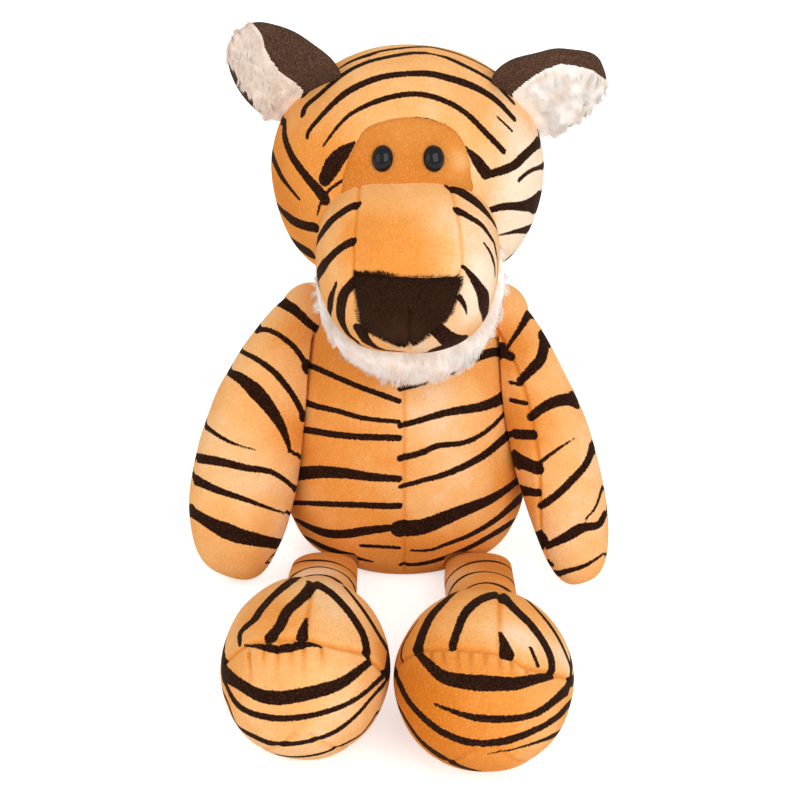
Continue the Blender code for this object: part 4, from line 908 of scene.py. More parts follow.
    def pocket(self, centre, norm, depth=2.5 * MM):
        """Opens the skin where norm is under 1, and turns its edge in."""
        flat = self.points.reshape(-1, 3)
        inside = norm(flat - centre) < 1.0
        if not inside.any():
            return
        in_face = inside[self.corner]
        mixed = in_face.any(axis=2) & ~in_face.all(axis=2)
        touched = np.zeros(len(flat), bool)
        touched[self.corner[mixed]] = True
        rim = touched & ~inside
        turned_in = touched & inside
        place = flat - centre
        flat[rim] = centre + place[rim] / norm(place[rim])[:, None]
        place = flat - self.normals.reshape(-1, 3) * depth - centre
        flat[turned_in] = centre + place[turned_in] / norm(place[turned_in])[:, None]
        self.points = flat.reshape(self.points.shape)
        gone = inside & ~turned_in
        self.kept &= ~gone[self.corner].any(axis=2)

    def dent(self, centre, half_width, radius):
        """Presses the skin back round a bar with rounded ends that lies across it."""
        place = self.points - centre
        across = np.minimum(np.abs(place[..., 0]) / half_width, 1.0)
        bar = radius * (1.0 - across ** 6) ** (1.0 / 6.0)
        back = np.sqrt(np.maximum(bar ** 2 - place[..., 2] ** 2, 0.0))
        inside = (back > 0.0) & (place[..., 1] < back)
        self.points[..., 1] = np.where(inside, centre[1] + back, self.points[..., 1])

    def piece(self, name, mask, look, body, nodes):
        """Makes an object of the faces in mask."""
        chosen = self.corner[mask & self.kept]
        used = np.unique(chosen)
        place = np.full(len(self.rest), -1)
        place[used] = np.arange(len(used))
        quads = place[chosen]
        flat = self.points.reshape(-1, 3)
        mesh = bpy.data.meshes.new(name)
        mesh.from_pydata(flat[used].tolist(), [], quads.tolist())
        set_fields(mesh, self.stripe[used], self.tone[used])
        made = new_object(name, mesh, look)
        weld(mesh)
        return dress(made, body, nodes)


def weld(mesh):
    """Merges the points that fall together at a pole and turns the faces out."""
    bm = bmesh.new()
    bm.from_mesh(mesh)
    bmesh.ops.remove_doubles(bm, verts=bm.verts[:], dist=1e-6)
    bmesh.ops.recalc_face_normals(bm, faces=bm.faces[:])
    bm.to_mesh(mesh)
    bm.free()
    mesh.shade_smooth()


def new_object(name, mesh, look):
    made = bpy.data.objects.new(name, mesh)
    bpy.context.scene.collection.objects.link(made)
    mesh.materials.append(look)
    mesh.shade_smooth()
    return made


def dress(made, body, nodes):
    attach(made, body)
    if nodes:
        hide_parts(*nodes)
    return made


# Materials


def shader_of(name):
    look = bpy.data.materials.new(name)
    look.use_nodes = True
    tree = look.node_tree
    return look, tree, tree.nodes["Principled BSDF"]


def add(tree, kind, **settings):
    node = tree.nodes.new(kind)
    for key, value in settings.items():
        if key in node.inputs:
            node.inputs[key].default_value = value
        else:
            setattr(node, key, value)
    return node


def noise(tree, coordinates, scale, detail=2.0, roughness=0.5):
    node = add(tree, "ShaderNodeTexNoise")
    node.inputs["Scale"].default_value = scale
    node.inputs["Detail"].default_value = detail
    node.inputs["Roughness"].default_value = roughness
    tree.links.new(coordinates, node.inputs["Vector"])
    return node.outputs["Fac"]


def math_node(tree, operation, first, second, clamp=False):
    node = add(tree, "ShaderNodeMath", operation=operation, use_clamp=clamp)
    for socket, value in zip(node.inputs, (first, second)):
        if isinstance(value, (int, float)):
            socket.default_value = value
        else:
            tree.links.new(value, socket)
    return node.outputs[0]


def mix_colour(tree, factor, first, second):
    node = add(tree, "ShaderNodeMix", data_type="RGBA")
    for socket, value in ((node.inputs[0], factor), (node.inputs[6], first), (node.inputs[7], second)):
        if isinstance(value, tuple):
            socket.default_value = (*value, 1.0)
        elif isinstance(value, (int, float)):
            socket.default_value = value
        else:
            tree.links.new(value, socket)
    return node.outputs[2]


def span(tree, value, low, high, to_low=0.0, to_high=1.0):
    node = add(tree, "ShaderNodeMapRange")
    tree.links.new(value, node.inputs[0])
    for socket, number in zip(node.inputs[1:5], (low, high, to_low, to_high)):
        socket.default_value = number
    return node.outputs[0]


def raise_bump(tree, shader, height, strength, distance):
    bump = add(tree, "ShaderNodeBump", Strength=strength, Distance=distance)
    tree.links.new(height, bump.inputs["Height"])
    tree.links.new(bump.outputs["Normal"], shader.inputs["Normal"])


def object_place(tree):
    return add(tree, "ShaderNodeTexCoord").outputs["Object"]


def field(tree, name):
    return add(tree, "ShaderNodeAttribute", attribute_name=name).outputs["Fac"]


def weighed(tree, first, first_weight, second, second_weight):
    """The sum of two values, each times its weight."""
    first = math_node(tree, "MULTIPLY", first, first_weight)
    second = math_node(tree, "MULTIPLY", second, second_weight)
    return math_node(tree, "ADD", first, second)


def matt(shader, roughness, sheen=0.0, tint=None):
    shader.inputs["Roughness"].default_value = roughness
    shader.inputs["Specular IOR Level"].default_value = CLOTH_SPECULAR
    if sheen:
        shader.inputs["Sheen Weight"].default_value = sheen
        shader.inputs["Sheen Roughness"].default_value = SHEEN_ROUGHNESS
        shader.inputs["Sheen Tint"].default_value = tint


def pile_bump(tree, shader, coordinates, strength):
    """Short pile: fine fibres, clumps of them, and the way that a hand has brushed them."""
    fibres = noise(tree, coordinates, FIBRE_SCALE, 1.0)
    clumps = noise(tree, coordinates, CLUMP_SCALE, 3.0, 0.6)
    brushed = noise(tree, coordinates, BRUSHED_SCALE, 3.0, 0.6)
    height = weighed(tree, clumps, 1.2, fibres, 0.7)
    height = math_node(tree, "ADD", height, math_node(tree, "MULTIPLY", brushed, 1.3))
    raise_bump(tree, shader, height, strength, PILE_BUMP)
    return clumps, fibres, brushed


def plush_look(name, deeper=0.0, shade=1.0):
    """Orange plush with printed stripes and a tone that is partly sprayed-on and partly painted light and
    shade, both from the strokes laid on the form.
    """
    look, tree, shader = shader_of(name)
    coordinates = object_place(tree)
    clumps, fibres, brushed = pile_bump(tree, shader, coordinates, 0.55)
    tone = field(tree, "tone")
    patchy = math_node(tree, "MULTIPLY", math_node(tree, "SUBTRACT", brushed, 0.5), 0.5)
    tone = math_node(tree, "ADD", tone, patchy)
    tone = math_node(tree, "SUBTRACT", tone, deeper)
    shades = PLUSH_DEEP, PLUSH, PLUSH_WARM, PLUSH_PALE
    deep, full, warm, pale = (tuple(shade * c for c in each) for each in shades)
    colour = mix_colour(tree, span(tree, tone, -1.0, 0.0), deep, full)
    colour = mix_colour(tree, span(tree, tone, 0.0, 0.5), colour, warm)
    colour = mix_colour(tree, span(tree, tone, 0.5, 1.2), colour, pale)
    grain = weighed(tree, clumps, 0.6, fibres, 0.4)
    colour = mix_colour(tree, span(tree, grain, 0.36, 0.5, 0.34, 0.0), colour, PLUSH_DEEP)
    colour = mix_colour(tree, span(tree, grain, 0.5, 0.66, 0.0, 0.28), colour, PLUSH_GRAIN)
    stripe = field(tree, "stripe")
    ragged = math_node(tree, "MULTIPLY", math_node(tree, "SUBTRACT", clumps, 0.5), 1.3 * MM)
    edge = span(tree, math_node(tree, "ADD", stripe, ragged), -0.18 * MM, 0.22 * MM, 1.0, 0.0)
    dark = mix_colour(tree, span(tree, grain, 0.48, 0.70), STRIPE_BROWN, STRIPE_LIGHT)
    colour = mix_colour(tree, edge, colour, dark)
    tree.links.new(colour, shader.inputs["Base Color"])
    matt(shader, 0.92, 0.025, PLUSH_SHEEN)
    return look


def brown_look(name, dark, light):
    look, tree, shader = shader_of(name)
    coordinates = object_place(tree)
    clumps, fibres, _ = pile_bump(tree, shader, coordinates, 0.7)
    grain = weighed(tree, clumps, 0.55, fibres, 0.45)
    # The tone field nudges the grain: random tone, painted shade in creases and the nose's painted highlights
    tone = field(tree, "tone")
    grain = math_node(tree, "ADD", grain, math_node(tree, "MULTIPLY", tone, 0.12))
    colour = mix_colour(tree, span(tree, grain, 0.42, 0.66), dark, light)
    tree.links.new(colour, shader.inputs["Base Color"])
    matt(shader, 0.9, 0.02, BROWN_SHEEN)
    return look


def fur_look(name, light, dark):
    look, tree, shader = shader_of(name)
    coordinates = object_place(tree)
    patches = noise(tree, coordinates, 120.0, 3.0, 0.6)
    fine = noise(tree, coordinates, 900.0, 2.0)
    tone = weighed(tree, patches, 0.7, fine, 0.3)
    colour = mix_colour(tree, span(tree, tone, 0.36, 0.62), dark, light)
    tree.links.new(colour, shader.inputs["Base Color"])
    raise_bump(tree, shader, fine, 0.3, PILE_BUMP)
    matt(shader, 0.9)
    return look


def eye_look(name):
    look, tree, shader = shader_of(name)
    coordinates = object_place(tree)
    dust = noise(tree, coordinates, 1500.0, 2.0)
    colour = mix_colour(tree, span(tree, dust, 0.68, 0.74, 0.0, 0.5), EYE_BLACK, DUST_GREY)
    tree.links.new(colour, shader.inputs["Base Color"])
    rough = span(tree, dust, 0.4, 0.75, 0.05, 0.2)
    tree.links.new(rough, shader.inputs["Roughness"])
    shader.inputs["Specular IOR Level"].default_value = 0.2
    return look


def plain_look(name, colour, roughness, size):
    """Inner pieces: filling, folded seams and washers."""
    look, tree, shader = shader_of(name)
    coordinates = object_place(tree)
    grain = noise(tree, coordinates, size, 3.0)
    darker = tuple(0.8 * c for c in colour)
    tree.links.new(mix_colour(tree, grain, darker, colour), shader.inputs["Base Color"])
    shader.inputs["Roughness"].default_value = roughness
    raise_bump(tree, shader, grain, 0.3, FINE_BUMP)
    return look


ORANGE_LOOK = plush_look("orange_plush")
DEEP_LOOK = plush_look("deep_orange_plush", 0.40, 0.86)
NOSE_LOOK = brown_look("nose_plush", *NOSE_BROWN)
BROWN_LOOK = brown_look("brown_plush", *EAR_BROWN)
FUR_LOOK = fur_look("white_fur", *FUR_WHITE)
BEIGE_SHADED_LOOK = fur_look("beige_shaded_fur", *FUR_BEIGE_SHADED)
EYE_LOOK = eye_look("eye_plastic")
FILLING_LOOK = plain_look("filling", FILLING_WHITE, 1.0, 900.0)
SEAM_LOOK = plain_look("seam_fabric", SEAM_ORANGE, 0.95, 1200.0)
WASHER_LOOK = plain_look("washer_plastic", WASHER_GREY, 0.45, 300.0)


def sphere_norm(radius):
    return lambda place: np.linalg.norm(place, axis=-1) / radius


def in_turn(values, low, high):
    """Which shares of a turn lie between two others."""
    return ((values - low) % 1.0) < ((high - low) % 1.0)


# Sub-parts


def build_torso():
    skin = Skin(torso, 236, 440, stop=0.25, base=0.1, open_facing=0.85, sideways=0.3)
    skin.paint(TORSO_RIGHT_STRIPES + TORSO_LEFT_STRIPES)
    for k, (share, from_v, to_v) in enumerate(TORSO_BAR_SHARES):
        skin.ring(share, BAR_HALF_WIDTH, k * 2.3, from_v, to_v, 0.02)
    for v in (0.0, 0.25, 0.5, 0.75):
        skin.turn_seam(v, 0.9 * MM, 1.0 * MM, (0.02, 0.97))
    # A dimple over the tail, so that the tail can lift
    skin.press(skin.form(np.array((0.095, 0.125)), np.full(2, 0.25)), 1.3 * MM, 6.0 * MM)
    skin.paint_tone_and_light(TORSO_SPOTS)
    skin.settle(0.35 * MM, 34.0 * MM, 3)
    skin.points[..., 2] = np.maximum(skin.points[..., 2], 0.0)
    for side in (1.0, -1.0):
        skin.pocket(SHOULDER * (side, 1.0, 1.0), sphere_norm(SHOULDER_RADIUS + POCKET_CLEARANCE), 1.5 * MM)
    for ankle in (LEFT_ANKLE, RIGHT_ANKLE):
        hip = np.array((ankle[0], HIP_Y, HIP_Z))
        skin.dent(hip, HIP_HALF_WIDTH + HIP_CLEARANCE, HIP_HALF_HEIGHT + HIP_CLEARANCE)
    skin.pocket(TAIL_ROOT, sphere_norm(TAIL_ROOT_RADIUS + POCKET_CLEARANCE))
    v = skin.v[:-1]
    for name, low, high in (
        ("torso_back_left", 0.0, 0.25), ("torso_back_right", 0.25, 0.5),
        ("torso_front_right", 0.5, 0.75), ("torso_front_left", 0.75, 1.0),
    ):
        skin.piece(name + "_plush", (v >= low) & (v < high), ORANGE_LOOK, "torso", (name,))
    return skin


def build_seat(torso_skin):
    """The flat panel under the seat, with its edge turned up against the torso."""
    rim = torso_skin.points[0]
    centre = rim.mean(axis=0)
    rings = []
    for share in (0.0, 0.25, 0.5, 0.75, 0.9, 0.985, 1.0):
        ring = centre + (rim - centre) * share
        ring[:, 2] = 0.15 * MM if share < 1.0 else 0.8 * MM
        rings.append(ring)
    count = len(rim)
    quads = tube_faces(len(rings), count)
    mesh = bpy.data.meshes.new("seat_plush")
    mesh.from_pydata(np.vstack(rings).tolist(), [], quads.reshape(-1, 4).tolist())
    set_fields(mesh, FAR, SEAT_TONE)
    made = new_object("seat_plush", mesh, DEEP_LOOK)
    weld(mesh)
    dress(made, "torso", ("seat_panel",))


def build_head():
    skin = Skin(head, 210, 440, carry=0.22, base=0.3)
    skin.paint(HEAD_STRIPES)
    for k, share in enumerate(HEAD_BAR_SHARES):
        ends = 0.12 + 0.02 * (k % 2), 0.38 - 0.02 * (k % 3)
        skin.ring(share, (2.1 - 0.1 * k) * MM, k * 1.7, *ends, 0.015 * (-1) ** k)
    for v in (0.0, 0.5):
        skin.turn_seam(v, 0.6 * MM, 1.0 * MM, (0.05, 0.95))
    skin.paint_tone_and_light(HEAD_SPOTS)
    skin.settle(0.5 * MM, 40.0 * MM, 11)
    flat = skin.points.reshape(-1, 3)
    for side in (-1.0, 1.0):
        away = np.linalg.norm(flat - eye_point(side), axis=1) / EYE_SOCKET_RADIUS
        flat -= skin.normals.reshape(-1, 3) * (EYE_SOCKET_DEPTH * np.exp(-away ** 2))[:, None]
    skin.points = flat.reshape(skin.points.shape)
    neck = np.array((0.0, TORSO_LEAN, NECK_Z))
    skin.pocket(neck, sphere_norm(NECK_RADIUS + POCKET_CLEARANCE), 3.0 * MM)
    back = skin.v[:-1] < 0.5
    skin.piece("head_back_plush", back, ORANGE_LOOK, "head", ("head_back",))
    skin.piece("head_front_plush", ~back, ORANGE_LOOK, "head", ("head_front",))
    return skin


def eye_point(side):
    x = HEAD[0] + side * EYE_SPREAD
    rise = EYE_Z - HEAD[2]
    inside = 1.0 - ((x - HEAD[0]) / HEAD_HALF_WIDTH) ** 2 - (rise / HEAD_CROWN_HEIGHT) ** 2
    return np.array((x, HEAD[1] - HEAD_HALF_DEPTH * math.sqrt(inside), EYE_Z))


def outlined(name, skin, outline, height, edge, look, body, nodes, rows=70, seams=(), spots=()):
    """A piece of fabric with this outline in the frame, laid on a skin and padded in the middle."""
    edge_line = smooth_route(outline + outline[:1], 1.5)
    low, high = edge_line[:, 1].min(), edge_line[:, 1].max()
    columns = 90
    grid = []
    for k in range(rows):
        y = low + (high - low) * (0.5 - 0.5 * math.cos(math.pi * (k + 0.5) / rows))
        crossings = []
        for (x0, y0), (x1, y1) in zip(edge_line, edge_line[1:]):
            if (y0 > y) != (y1 > y):
                crossings.append(x0 + (x1 - x0) * (y - y0) / (y1 - y0))
        left, right = min(crossings), max(crossings)
        row = []
        for c in range(columns):
            x = left + (right - left) * (0.5 - 0.5 * math.cos(math.pi * c / (columns - 1)))
            row.append((x, y))
        grid.append(row)
    flat_px = np.array(grid).reshape(-1, 2)
    to_edge = np.linalg.norm(flat_px[:, None] - edge_line[None], axis=2).min(axis=1) * PX
    points, normals = [], []
    tree = BVHTree.FromPolygons(skin.points.reshape(-1, 3).tolist(), skin.corner.reshape(-1, 4).tolist())
    for x, y in flat_px:
        ray = pixel_ray(x, y)
        found, normal, _, _ = tree.ray_cast(Vector(EYE_POINT), Vector(ray))
        if found is None:
            nearby = EYE_POINT + ray * (skin.rest.mean(axis=0) - EYE_POINT) @ ray
            found, normal, _, _ = tree.find_nearest(Vector(nearby))
        normal = np.array(normal)
        points.append(found)
        normals.append(normal if normal @ LOOK < 0 else -normal)
    points, normals = np.array(points), np.array(normals)
    lift = height * (1.0 - np.exp(-to_edge / edge)) - 0.35 * MM * np.exp(-to_edge / (0.5 * edge))
    crease = np.zeros(len(points))
    for route in seams:
        line = smooth_route(route, 2.0)
        gap = np.linalg.norm(flat_px[:, None] - line[None], axis=2).min(axis=1)
        crease = np.minimum(crease, -1.4 * MM * np.exp(-(gap / 2.2) ** 2))
    points = points + normals * (lift + crease)[:, None]
    index = np.arange(rows * columns).reshape(rows, columns)
    quads = np.stack((index[:-1, :-1], index[:-1, 1:], index[1:, 1:], index[1:, :-1]), axis=-1)
    mesh = bpy.data.meshes.new(name)
    mesh.from_pydata(points.tolist(), [], quads.reshape(-1, 4).tolist())
    # Painted shade: deeper in the seams' creases and along the piece's dipped edge
    tone = np.clip(crease / MM, -1.0, 0.0) * 0.5 - 0.15 * np.exp(-to_edge / (2.5 * MM))
    for place, radius, strength in spots:
        tone += strength * np.exp(-((flat_px - place) ** 2).sum(axis=1) / radius ** 2)
    set_fields(mesh, FAR, tone)
    made = new_object(name, mesh, look)
    weld(mesh)
    dress(made, body, nodes)
    return points, normals, to_edge


def build_snout():
    skin = Skin(snout, 190, 360, carry=0.10, base=0.35)
    skin.paint(SNOUT_STRIPES)
    for route in SNOUT_SEAMS:
        skin.seam(route, 0.9 * MM, 0.8 * MM)
    skin.paint_tone_and_light(SNOUT_SPOTS)
    skin.settle(0.35 * MM, 26.0 * MM, 23)
    deep = head_norm(skin.rest) < HIDDEN_NORM
    skin.kept &= ~deep[skin.corner].all(axis=2)
    middle = skin.points.reshape(-1, 3)[skin.corner].mean(axis=2)
    px, py = pixel_of(middle)
    facing = -(skin.normals[:-1] @ LOOK) > 0
    bridge = inside_outline(px, py, BRIDGE_OUTLINE) & facing
    left = (middle[..., 0] > SNOUT[0]) & ~bridge
    right = ~left & ~bridge
    skin.piece("snout_bridge_plush", bridge, ORANGE_LOOK, "head", ("snout_bridge",))
    skin.piece("snout_left_plush", left, ORANGE_LOOK, "head", ("snout_side_left",))
    skin.piece("snout_right_plush", right, ORANGE_LOOK, "head", ("snout_side_right",))
    points, normals, to_edge = outlined(
        "nose_plush", skin, NOSE_OUTLINE, 3.4 * MM, 3.6 * MM, NOSE_LOOK, "head", ("nose",),
        seams=NOSE_SEAMS, spots=NOSE_HIGHLIGHTS,
    )
    rng = np.random.default_rng(29)
    weight = 0.3 + np.exp(-to_edge / (1.5 * MM))
    chosen = rng.choice(len(points), NOSE_STRANDS, replace=False, p=weight / weight.sum())
    outward = unit(points[chosen] - points.mean(axis=0)) + np.array((0.0, 0.0, 0.5))
    strands("nose_pile", points[chosen], normals[chosen], outward, 1.5 * MM, 0.20 * MM, 31, "head", NOSE_LOOK,
            0.0, NOSE_PILE_RISE)


def build_eyes():
    for name, side in (("eye_left", 1.0), ("eye_right", -1.0)):
        place = eye_point(side)
        offset = (place - HEAD) / np.array((HEAD_HALF_WIDTH, HEAD_HALF_DEPTH, HEAD_CROWN_HEIGHT)) ** 2
        out = unit(offset)
        wide = unit(np.cross((0.0, 0.0, 1.0), out))
        tall = np.cross(out, wide)
        rows, columns = 28, 64
        points = []
        for k in range(rows):
            bend = 1.25 * QUARTER * k / (rows - 1) - 0.25 * QUARTER
            for c in range(columns):
                angle = TURN * c / columns
                ring = math.cos(bend)
                points.append(place + out * (0.6 * MM + EYE_BULGE * math.sin(bend))
                              + wide * EYE_HALF_WIDTH * ring * math.cos(angle)
                              + tall * EYE_HALF_HEIGHT * ring * math.sin(angle))
        quads = tube_faces(rows, columns)
        mesh = bpy.data.meshes.new(name + "_dome")
        mesh.from_pydata([tuple(p) for p in points], [], quads.reshape(-1, 4).tolist())
        made = new_object(name + "_dome", mesh, EYE_LOOK)
        weld(mesh)
        dress(made, "head", (name,))


def strands(name, roots, normals, lean, length, width, seed, body, look, draw, rise=0.25):
    """Pile: strands that lie along the surface, taper to a point and draw together in tufts."""
    rng = np.random.default_rng(seed)
    count = len(roots)
    middles = roots[rng.choice(count, count // 45, replace=False)]
    tuft = np.linalg.norm(roots[:, None] - middles[None], axis=2).argmin(axis=1)
    drawn = (middles[tuft] - roots) * draw
    sway = rng.normal(size=(len(middles), 3))[tuft]
    tuft_length = rng.uniform(0.75, 1.2, len(middles))[tuft]
    lean = np.broadcast_to(lean, normals.shape)
    lean = unit(lean - normals * (lean * normals).sum(axis=1, keepdims=True) + 0.22 * sway)
    direction = unit(normals * rise + lean + 0.12 * rng.normal(size=(count, 3)))
    curl = unit(lean + np.array((0.0, 0.0, -0.3)))
    lengths = (length * rng.uniform(0.6, 1.05, count) * tuft_length)[:, None]
    across = unit(np.cross(direction, normals + 0.15 * rng.normal(size=(count, 3))))
    levels = (0.0, 0.4, 0.75, 1.0)
    sides = []
    for level in levels:
        middle = roots + (direction * level + curl * 0.3 * level ** 2) * lengths + drawn * level ** 1.5
        half = 0.5 * width * (1.0 - level ** 1.6 * 0.9)
        sides.append(middle - across * half)
        sides.append(middle + across * half)
    points = np.stack(sides, axis=1).reshape(-1, 3)
    base = np.arange(count)[:, None] * (2 * len(levels))
    quads = np.concatenate([base + np.array((2 * k, 2 * k + 1, 2 * k + 3, 2 * k + 2)) for k in range(3)])
    mesh = bpy.data.meshes.new(name)
    mesh.from_pydata(points.tolist(), [], quads.tolist())
    made = new_object(name, mesh, look)
    mesh.normals_split_custom_set_from_vertices(np.repeat(normals, 2 * len(levels), axis=0).tolist())
    return dress(made, body, ())


def scatter(skin, mask, count, seed):
    """Roots for strands, spread evenly over the faces in mask."""
    rng = np.random.default_rng(seed)
    faces = skin.corner[mask & skin.kept]
    corners = skin.points.reshape(-1, 3)[faces]
    area = np.linalg.norm(np.cross(corners[:, 2] - corners[:, 0], corners[:, 3] - corners[:, 1]), axis=1)
    chosen = rng.choice(len(faces), count, p=area / area.sum())
    s, t = rng.random((2, count, 1))
    c = corners[chosen]
    roots = (c[:, 0] * (1 - s) + c[:, 1] * s) * (1 - t) + (c[:, 3] * (1 - s) + c[:, 2] * s) * t
    return roots, skin.normals.reshape(-1, 3)[faces[chosen, 0]]


def build_ears():
    for name, parts, outline, lean, look in (
        ("ear_left", LEFT_EAR, LEFT_EAR_FUR_OUTLINE, (0.35, -0.1, -0.55), FUR_LOOK),
        # The ear to the frame's left lies in shade and gets the beige fur with painted shade
        ("ear_right", RIGHT_EAR, RIGHT_EAR_FUR_OUTLINE, (-0.15, -0.1, -0.6), BEIGE_SHADED_LOOK),
    ):
        skin = Skin(ear(*parts), 100, 170)
        skin.settle(0.4 * MM, 18.0 * MM, 31)
        middle = skin.points.reshape(-1, 3)[skin.corner].mean(axis=2)
        px, py = pixel_of(middle)
        facing = -(skin.normals[:-1] @ LOOK)
        furry = inside_outline(px, py, outline) & (facing > EAR_FUR_TURN)
        deep = head_norm(middle) < HIDDEN_NORM
        skin.kept &= ~deep
        skin.piece(name + "_fur_base", furry, look, name, (name + "_front",))
        skin.piece(name + "_back_plush", ~furry, BROWN_LOOK, name, (name + "_back",))
        roots, normals = scatter(skin, furry, EAR_STRANDS, 41)
        outside = head_norm(roots) > FUR_NORM
        roots, normals = roots[outside], normals[outside]
        strands(name + "_fur", roots, normals, np.array(lean), 3.2 * MM, STRAND_WIDTH, 43, name, look,
                FUR_DRAW)


def build_beard():
    skin = Skin(beard, 150, 60)
    skin.settle(0.5 * MM, 16.0 * MM, 53)
    whole = np.ones(skin.kept.shape, bool)
    skin.piece("beard_base", whole, FUR_LOOK, "head", ("beard",))
    roots, normals = scatter(skin, whole, BEARD_STRANDS, 57)
    lean = unit((roots - SNOUT) * (1.0, 0.2, 1.0)) * 0.5 + np.array((0.0, -0.1, -0.35))
    strands("beard_fur", roots, normals, lean, 3.8 * MM, STRAND_WIDTH, 59, "head", FUR_LOOK,
            FUR_DRAW)


def build_arms():
    for name, parts, strokes, seams, spots, seed in (
        ("arm_left", LEFT_ARM, LEFT_ARM_STRIPES, LEFT_ARM_SEAMS, LEFT_ARM_SPOTS, 61),
        ("arm_right", RIGHT_ARM, RIGHT_ARM_STRIPES, (), RIGHT_ARM_SPOTS, 67),
    ):
        skin = Skin(arm(*parts), 190, 190, carry=0.30, base=0.48, open_facing=0.75)
        skin.paint(strokes)
        for route in seams:
            skin.seam(route, 1.3 * MM, 1.1 * MM)
        skin.turn_seam(0.0, 0.5 * MM, 0.9 * MM, (0.1, 0.98))
        skin.paint_tone_and_light(spots)
        skin.settle(0.4 * MM, 26.0 * MM, seed)
        half = skin.v[:-1] < 0.5
        for part, mask in (("_front", half), ("_back", ~half)):
            skin.piece(name + part + "_plush", mask, ORANGE_LOOK, name, (name + part,))


def build_legs():
    for name, ankle in (("leg_left", LEFT_ANKLE), ("leg_right", RIGHT_ANKLE)):
        skin = Skin(leg(ankle), 120, 110, carry=0.2, base=0.0)
        for k, share in enumerate(LEG_RING_SHARES):
            skin.ring(share, BAR_HALF_WIDTH, k + ankle[0] * 40.0, slant=1.6 * ankle[0])
        skin.turn_seam(0.75, 0.6 * MM, 0.9 * MM, (0.1, 0.9))
        skin.paint_tone_and_light(LEG_SPOTS)
        skin.settle(0.3 * MM, 20.0 * MM, 71)
        whole = np.ones(skin.kept.shape, bool)
        skin.piece(name + "_plush", whole, ORANGE_LOOK, name, (name + "_skin",))


def build_feet():
    left_strokes = LEFT_FOOT_STRIPES, LEFT_FOOT_SEAMS, LEFT_FOOT_PLEATS, LEFT_FOOT_SPOTS
    right_strokes = RIGHT_FOOT_STRIPES, RIGHT_FOOT_SEAMS, RIGHT_FOOT_PLEATS, RIGHT_FOOT_SPOTS
    for name, ankle, size, (strokes, seams, pleats, spots), side, base in (
        ("foot_left", LEFT_ANKLE, LEFT_FOOT, left_strokes, 1.0, 0.12),
        ("foot_right", RIGHT_ANKLE, RIGHT_FOOT, right_strokes, -1.0, 0.5),
    ):
        skin = Skin(foot(ankle, *size), 190, 260, carry=0.3, base=base, sideways=0.55, lengthwise=True)
        skin.paint(strokes)
        for route in seams:
            skin.seam(route, 1.3 * MM, 1.1 * MM)
        for route in pleats:
            skin.pleat(route, 1.6 * MM, 1.1 * MM)
        low, high = SOLE_TURN_SHARES
        for v in (low, high):
            skin.turn_seam(v, 0.6 * MM, 1.0 * MM, (0.2, 0.97))
        skin.paint_tone_and_light(spots)
        skin.settle(0.4 * MM, 26.0 * MM, 73)
        skin.points[..., 2] = np.maximum(skin.points[..., 2], 0.0)
        skin.pocket(ankle, sphere_norm(ANKLE_RADIUS + POCKET_CLEARANCE), 2.0 * MM)
        u, v = skin.u[:-1], skin.v[:-1]
        sole = in_turn(v, low, high)
        toe = ~sole & (u > TOE_SEAM_SHARE)
        instep = ~sole & ~toe
        left = instep & ~in_turn(v, 0.25, low)
        right = instep & ~left
        outer, inner = (left, right) if side > 0 else (right, left)
        for part, mask in (("_instep_outer", outer), ("_instep_inner", inner), ("_toe_cap", toe)):
            skin.piece(name + part + "_plush", mask, ORANGE_LOOK, name, (name + part,))
        skin.piece(name + "_sole_plush", sole, ORANGE_LOOK, name, (name + "_sole",))


def build_tail():
    skin = Skin(tail, 260, 84, base=0.3)
    for k, share in enumerate(TAIL_RING_SHARES):
        skin.ring(share, (2.4 - 0.12 * k) * MM, 1.3 * k)
    skin.turn_seam(0.75, 0.5 * MM, 0.8 * MM, (0.05, 0.95))
    border = skin.form(np.full(60, TAIL_TIP_SHARE), np.linspace(0, 1, 60))
    skin.press(border, 0.7 * MM, 0.9 * MM)
    skin.settle(0.3 * MM, 18.0 * MM, 79)
    skin.points[..., 2] = np.maximum(skin.points[..., 2], 0.3 * MM)
    tip = skin.u[:-1] > TAIL_TIP_SHARE
    skin.piece("tail_plush", ~tip, ORANGE_LOOK, "tail", ("tail_skin",))
    skin.piece("tail_tip_plush", tip, BROWN_LOOK, "tail", ("tail_tip",))


def dress_inner_nodes():
    """The inner pieces of the CAD part stay as they are, with materials of their own."""
    for name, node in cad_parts.items():
        if node.hide_render:
            continue
        look = SEAM_LOOK if name.endswith("seam") or "_seam_" in name else WASHER_LOOK
        look = FILLING_LOOK if name.endswith("stuffing") else look
        for slot in node.material_slots:
            slot.material = look


# Stage


def seen_ray(tree):
    """1 where the camera sees this, straight or in a reflection."""
    path = add(tree, "ShaderNodeLightPath")
    seen = math_node(tree, "MAXIMUM", path.outputs["Is Camera Ray"], path.outputs["Is Glossy Ray"])
    return math_node(tree, "MAXIMUM", seen, path.outputs["Is Transmission Ray"])


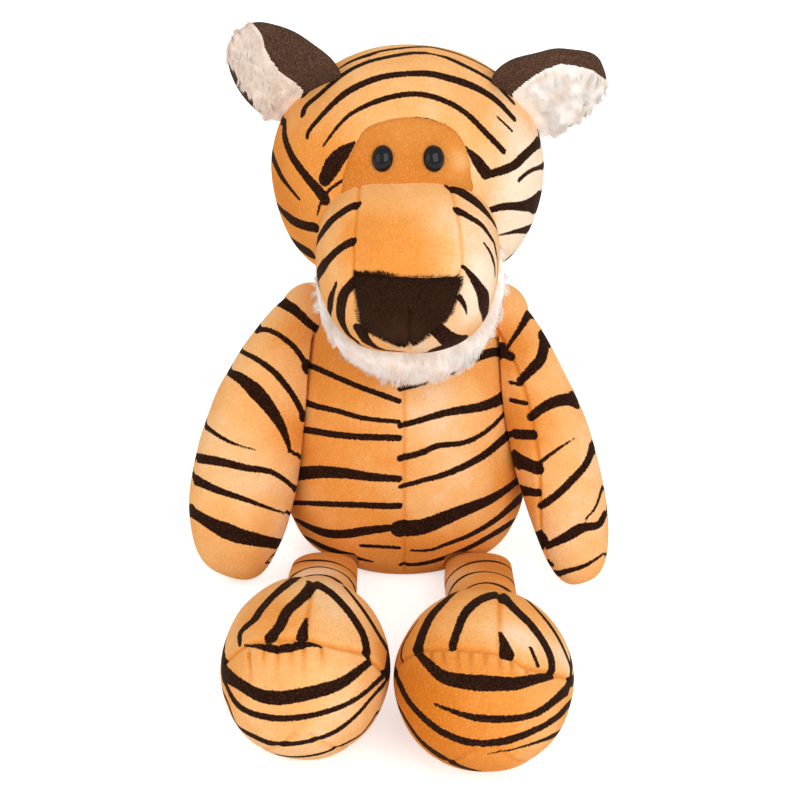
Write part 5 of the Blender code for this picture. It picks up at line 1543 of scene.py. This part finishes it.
def build_stage():
    scene = bpy.context.scene
    mesh = bpy.data.meshes.new("floor")
    corners = ((-1, -1), (1, -1), (1, 1), (-1, 1))
    mesh.from_pydata([(FLOOR_SIZE * x, FLOOR_SIZE * y, 0) for x, y in corners], [], [(0, 1, 2, 3)])
    look, tree, shader = shader_of("floor")
    shader.inputs["Base Color"].default_value = (0.9, 0.9, 0.9, 1.0)
    shader.inputs["Roughness"].default_value = 1.0
    shader.inputs["Specular IOR Level"].default_value = 0.0
    glow = math_node(tree, "MULTIPLY", seen_ray(tree), FLOOR_GLOW)
    shader.inputs["Emission Color"].default_value = (1.0, 1.0, 1.0, 1.0)
    tree.links.new(glow, shader.inputs["Emission Strength"])
    floor = new_object("floor", mesh, look)
    floor.location.z = -FLOOR_DROP
    world = bpy.data.worlds.new("studio")
    scene.world = world
    world.use_nodes = True
    nodes = world.node_tree
    background = nodes.nodes["Background"]
    strength = span(nodes, seen_ray(nodes), 0.0, 1.0, WORLD_LIGHT, 1.0)
    nodes.links.new(strength, background.inputs["Strength"])
    background.inputs["Color"].default_value = (1.0, 1.0, 1.0, 1.0)
    for name, place, size, power in (
        ("key", (0.8, -1.7, 1.25), 1.6, 27.0),
        ("fill", (-1.4, -1.2, 0.9), 1.4, 9.0),
        ("back", (0.3, 1.6, 1.5), 1.2, 9.0),
    ):
        lamp = bpy.data.objects.new(name, bpy.data.lights.new(name, "AREA"))
        lamp.data.size = size
        lamp.data.energy = power
        aim = Vector((0.0, -0.04, 0.12)) - Vector(place)
        lamp.matrix_world = Matrix.Translation(place) @ aim.to_track_quat("-Z", "Y").to_matrix().to_4x4()
        scene.collection.objects.link(lamp)
    camera = bpy.data.objects.new("camera", bpy.data.cameras.new("camera"))
    turn = Matrix((Vector(SIDE), Vector(UP), Vector(-LOOK))).transposed().to_4x4()
    camera.matrix_world = Matrix.Translation(EYE_POINT) @ turn
    camera.data.lens = LENS
    camera.data.sensor_width = SENSOR
    scene.collection.objects.link(camera)
    scene.camera = camera
    scene.view_settings.view_transform = "Standard"


torso_skin = build_torso()
build_seat(torso_skin)
head_skin = build_head()
outlined("face_patch_plush", head_skin, PATCH_OUTLINE, 0.9 * MM, 1.2 * MM, DEEP_LOOK, "head", ("face_patch",),
         spots=PATCH_SPOTS)
build_snout()
build_eyes()
build_ears()
build_beard()
build_arms()
build_legs()
build_feet()
build_tail()
dress_inner_nodes()
build_stage()
bpy.context.view_layer.update()
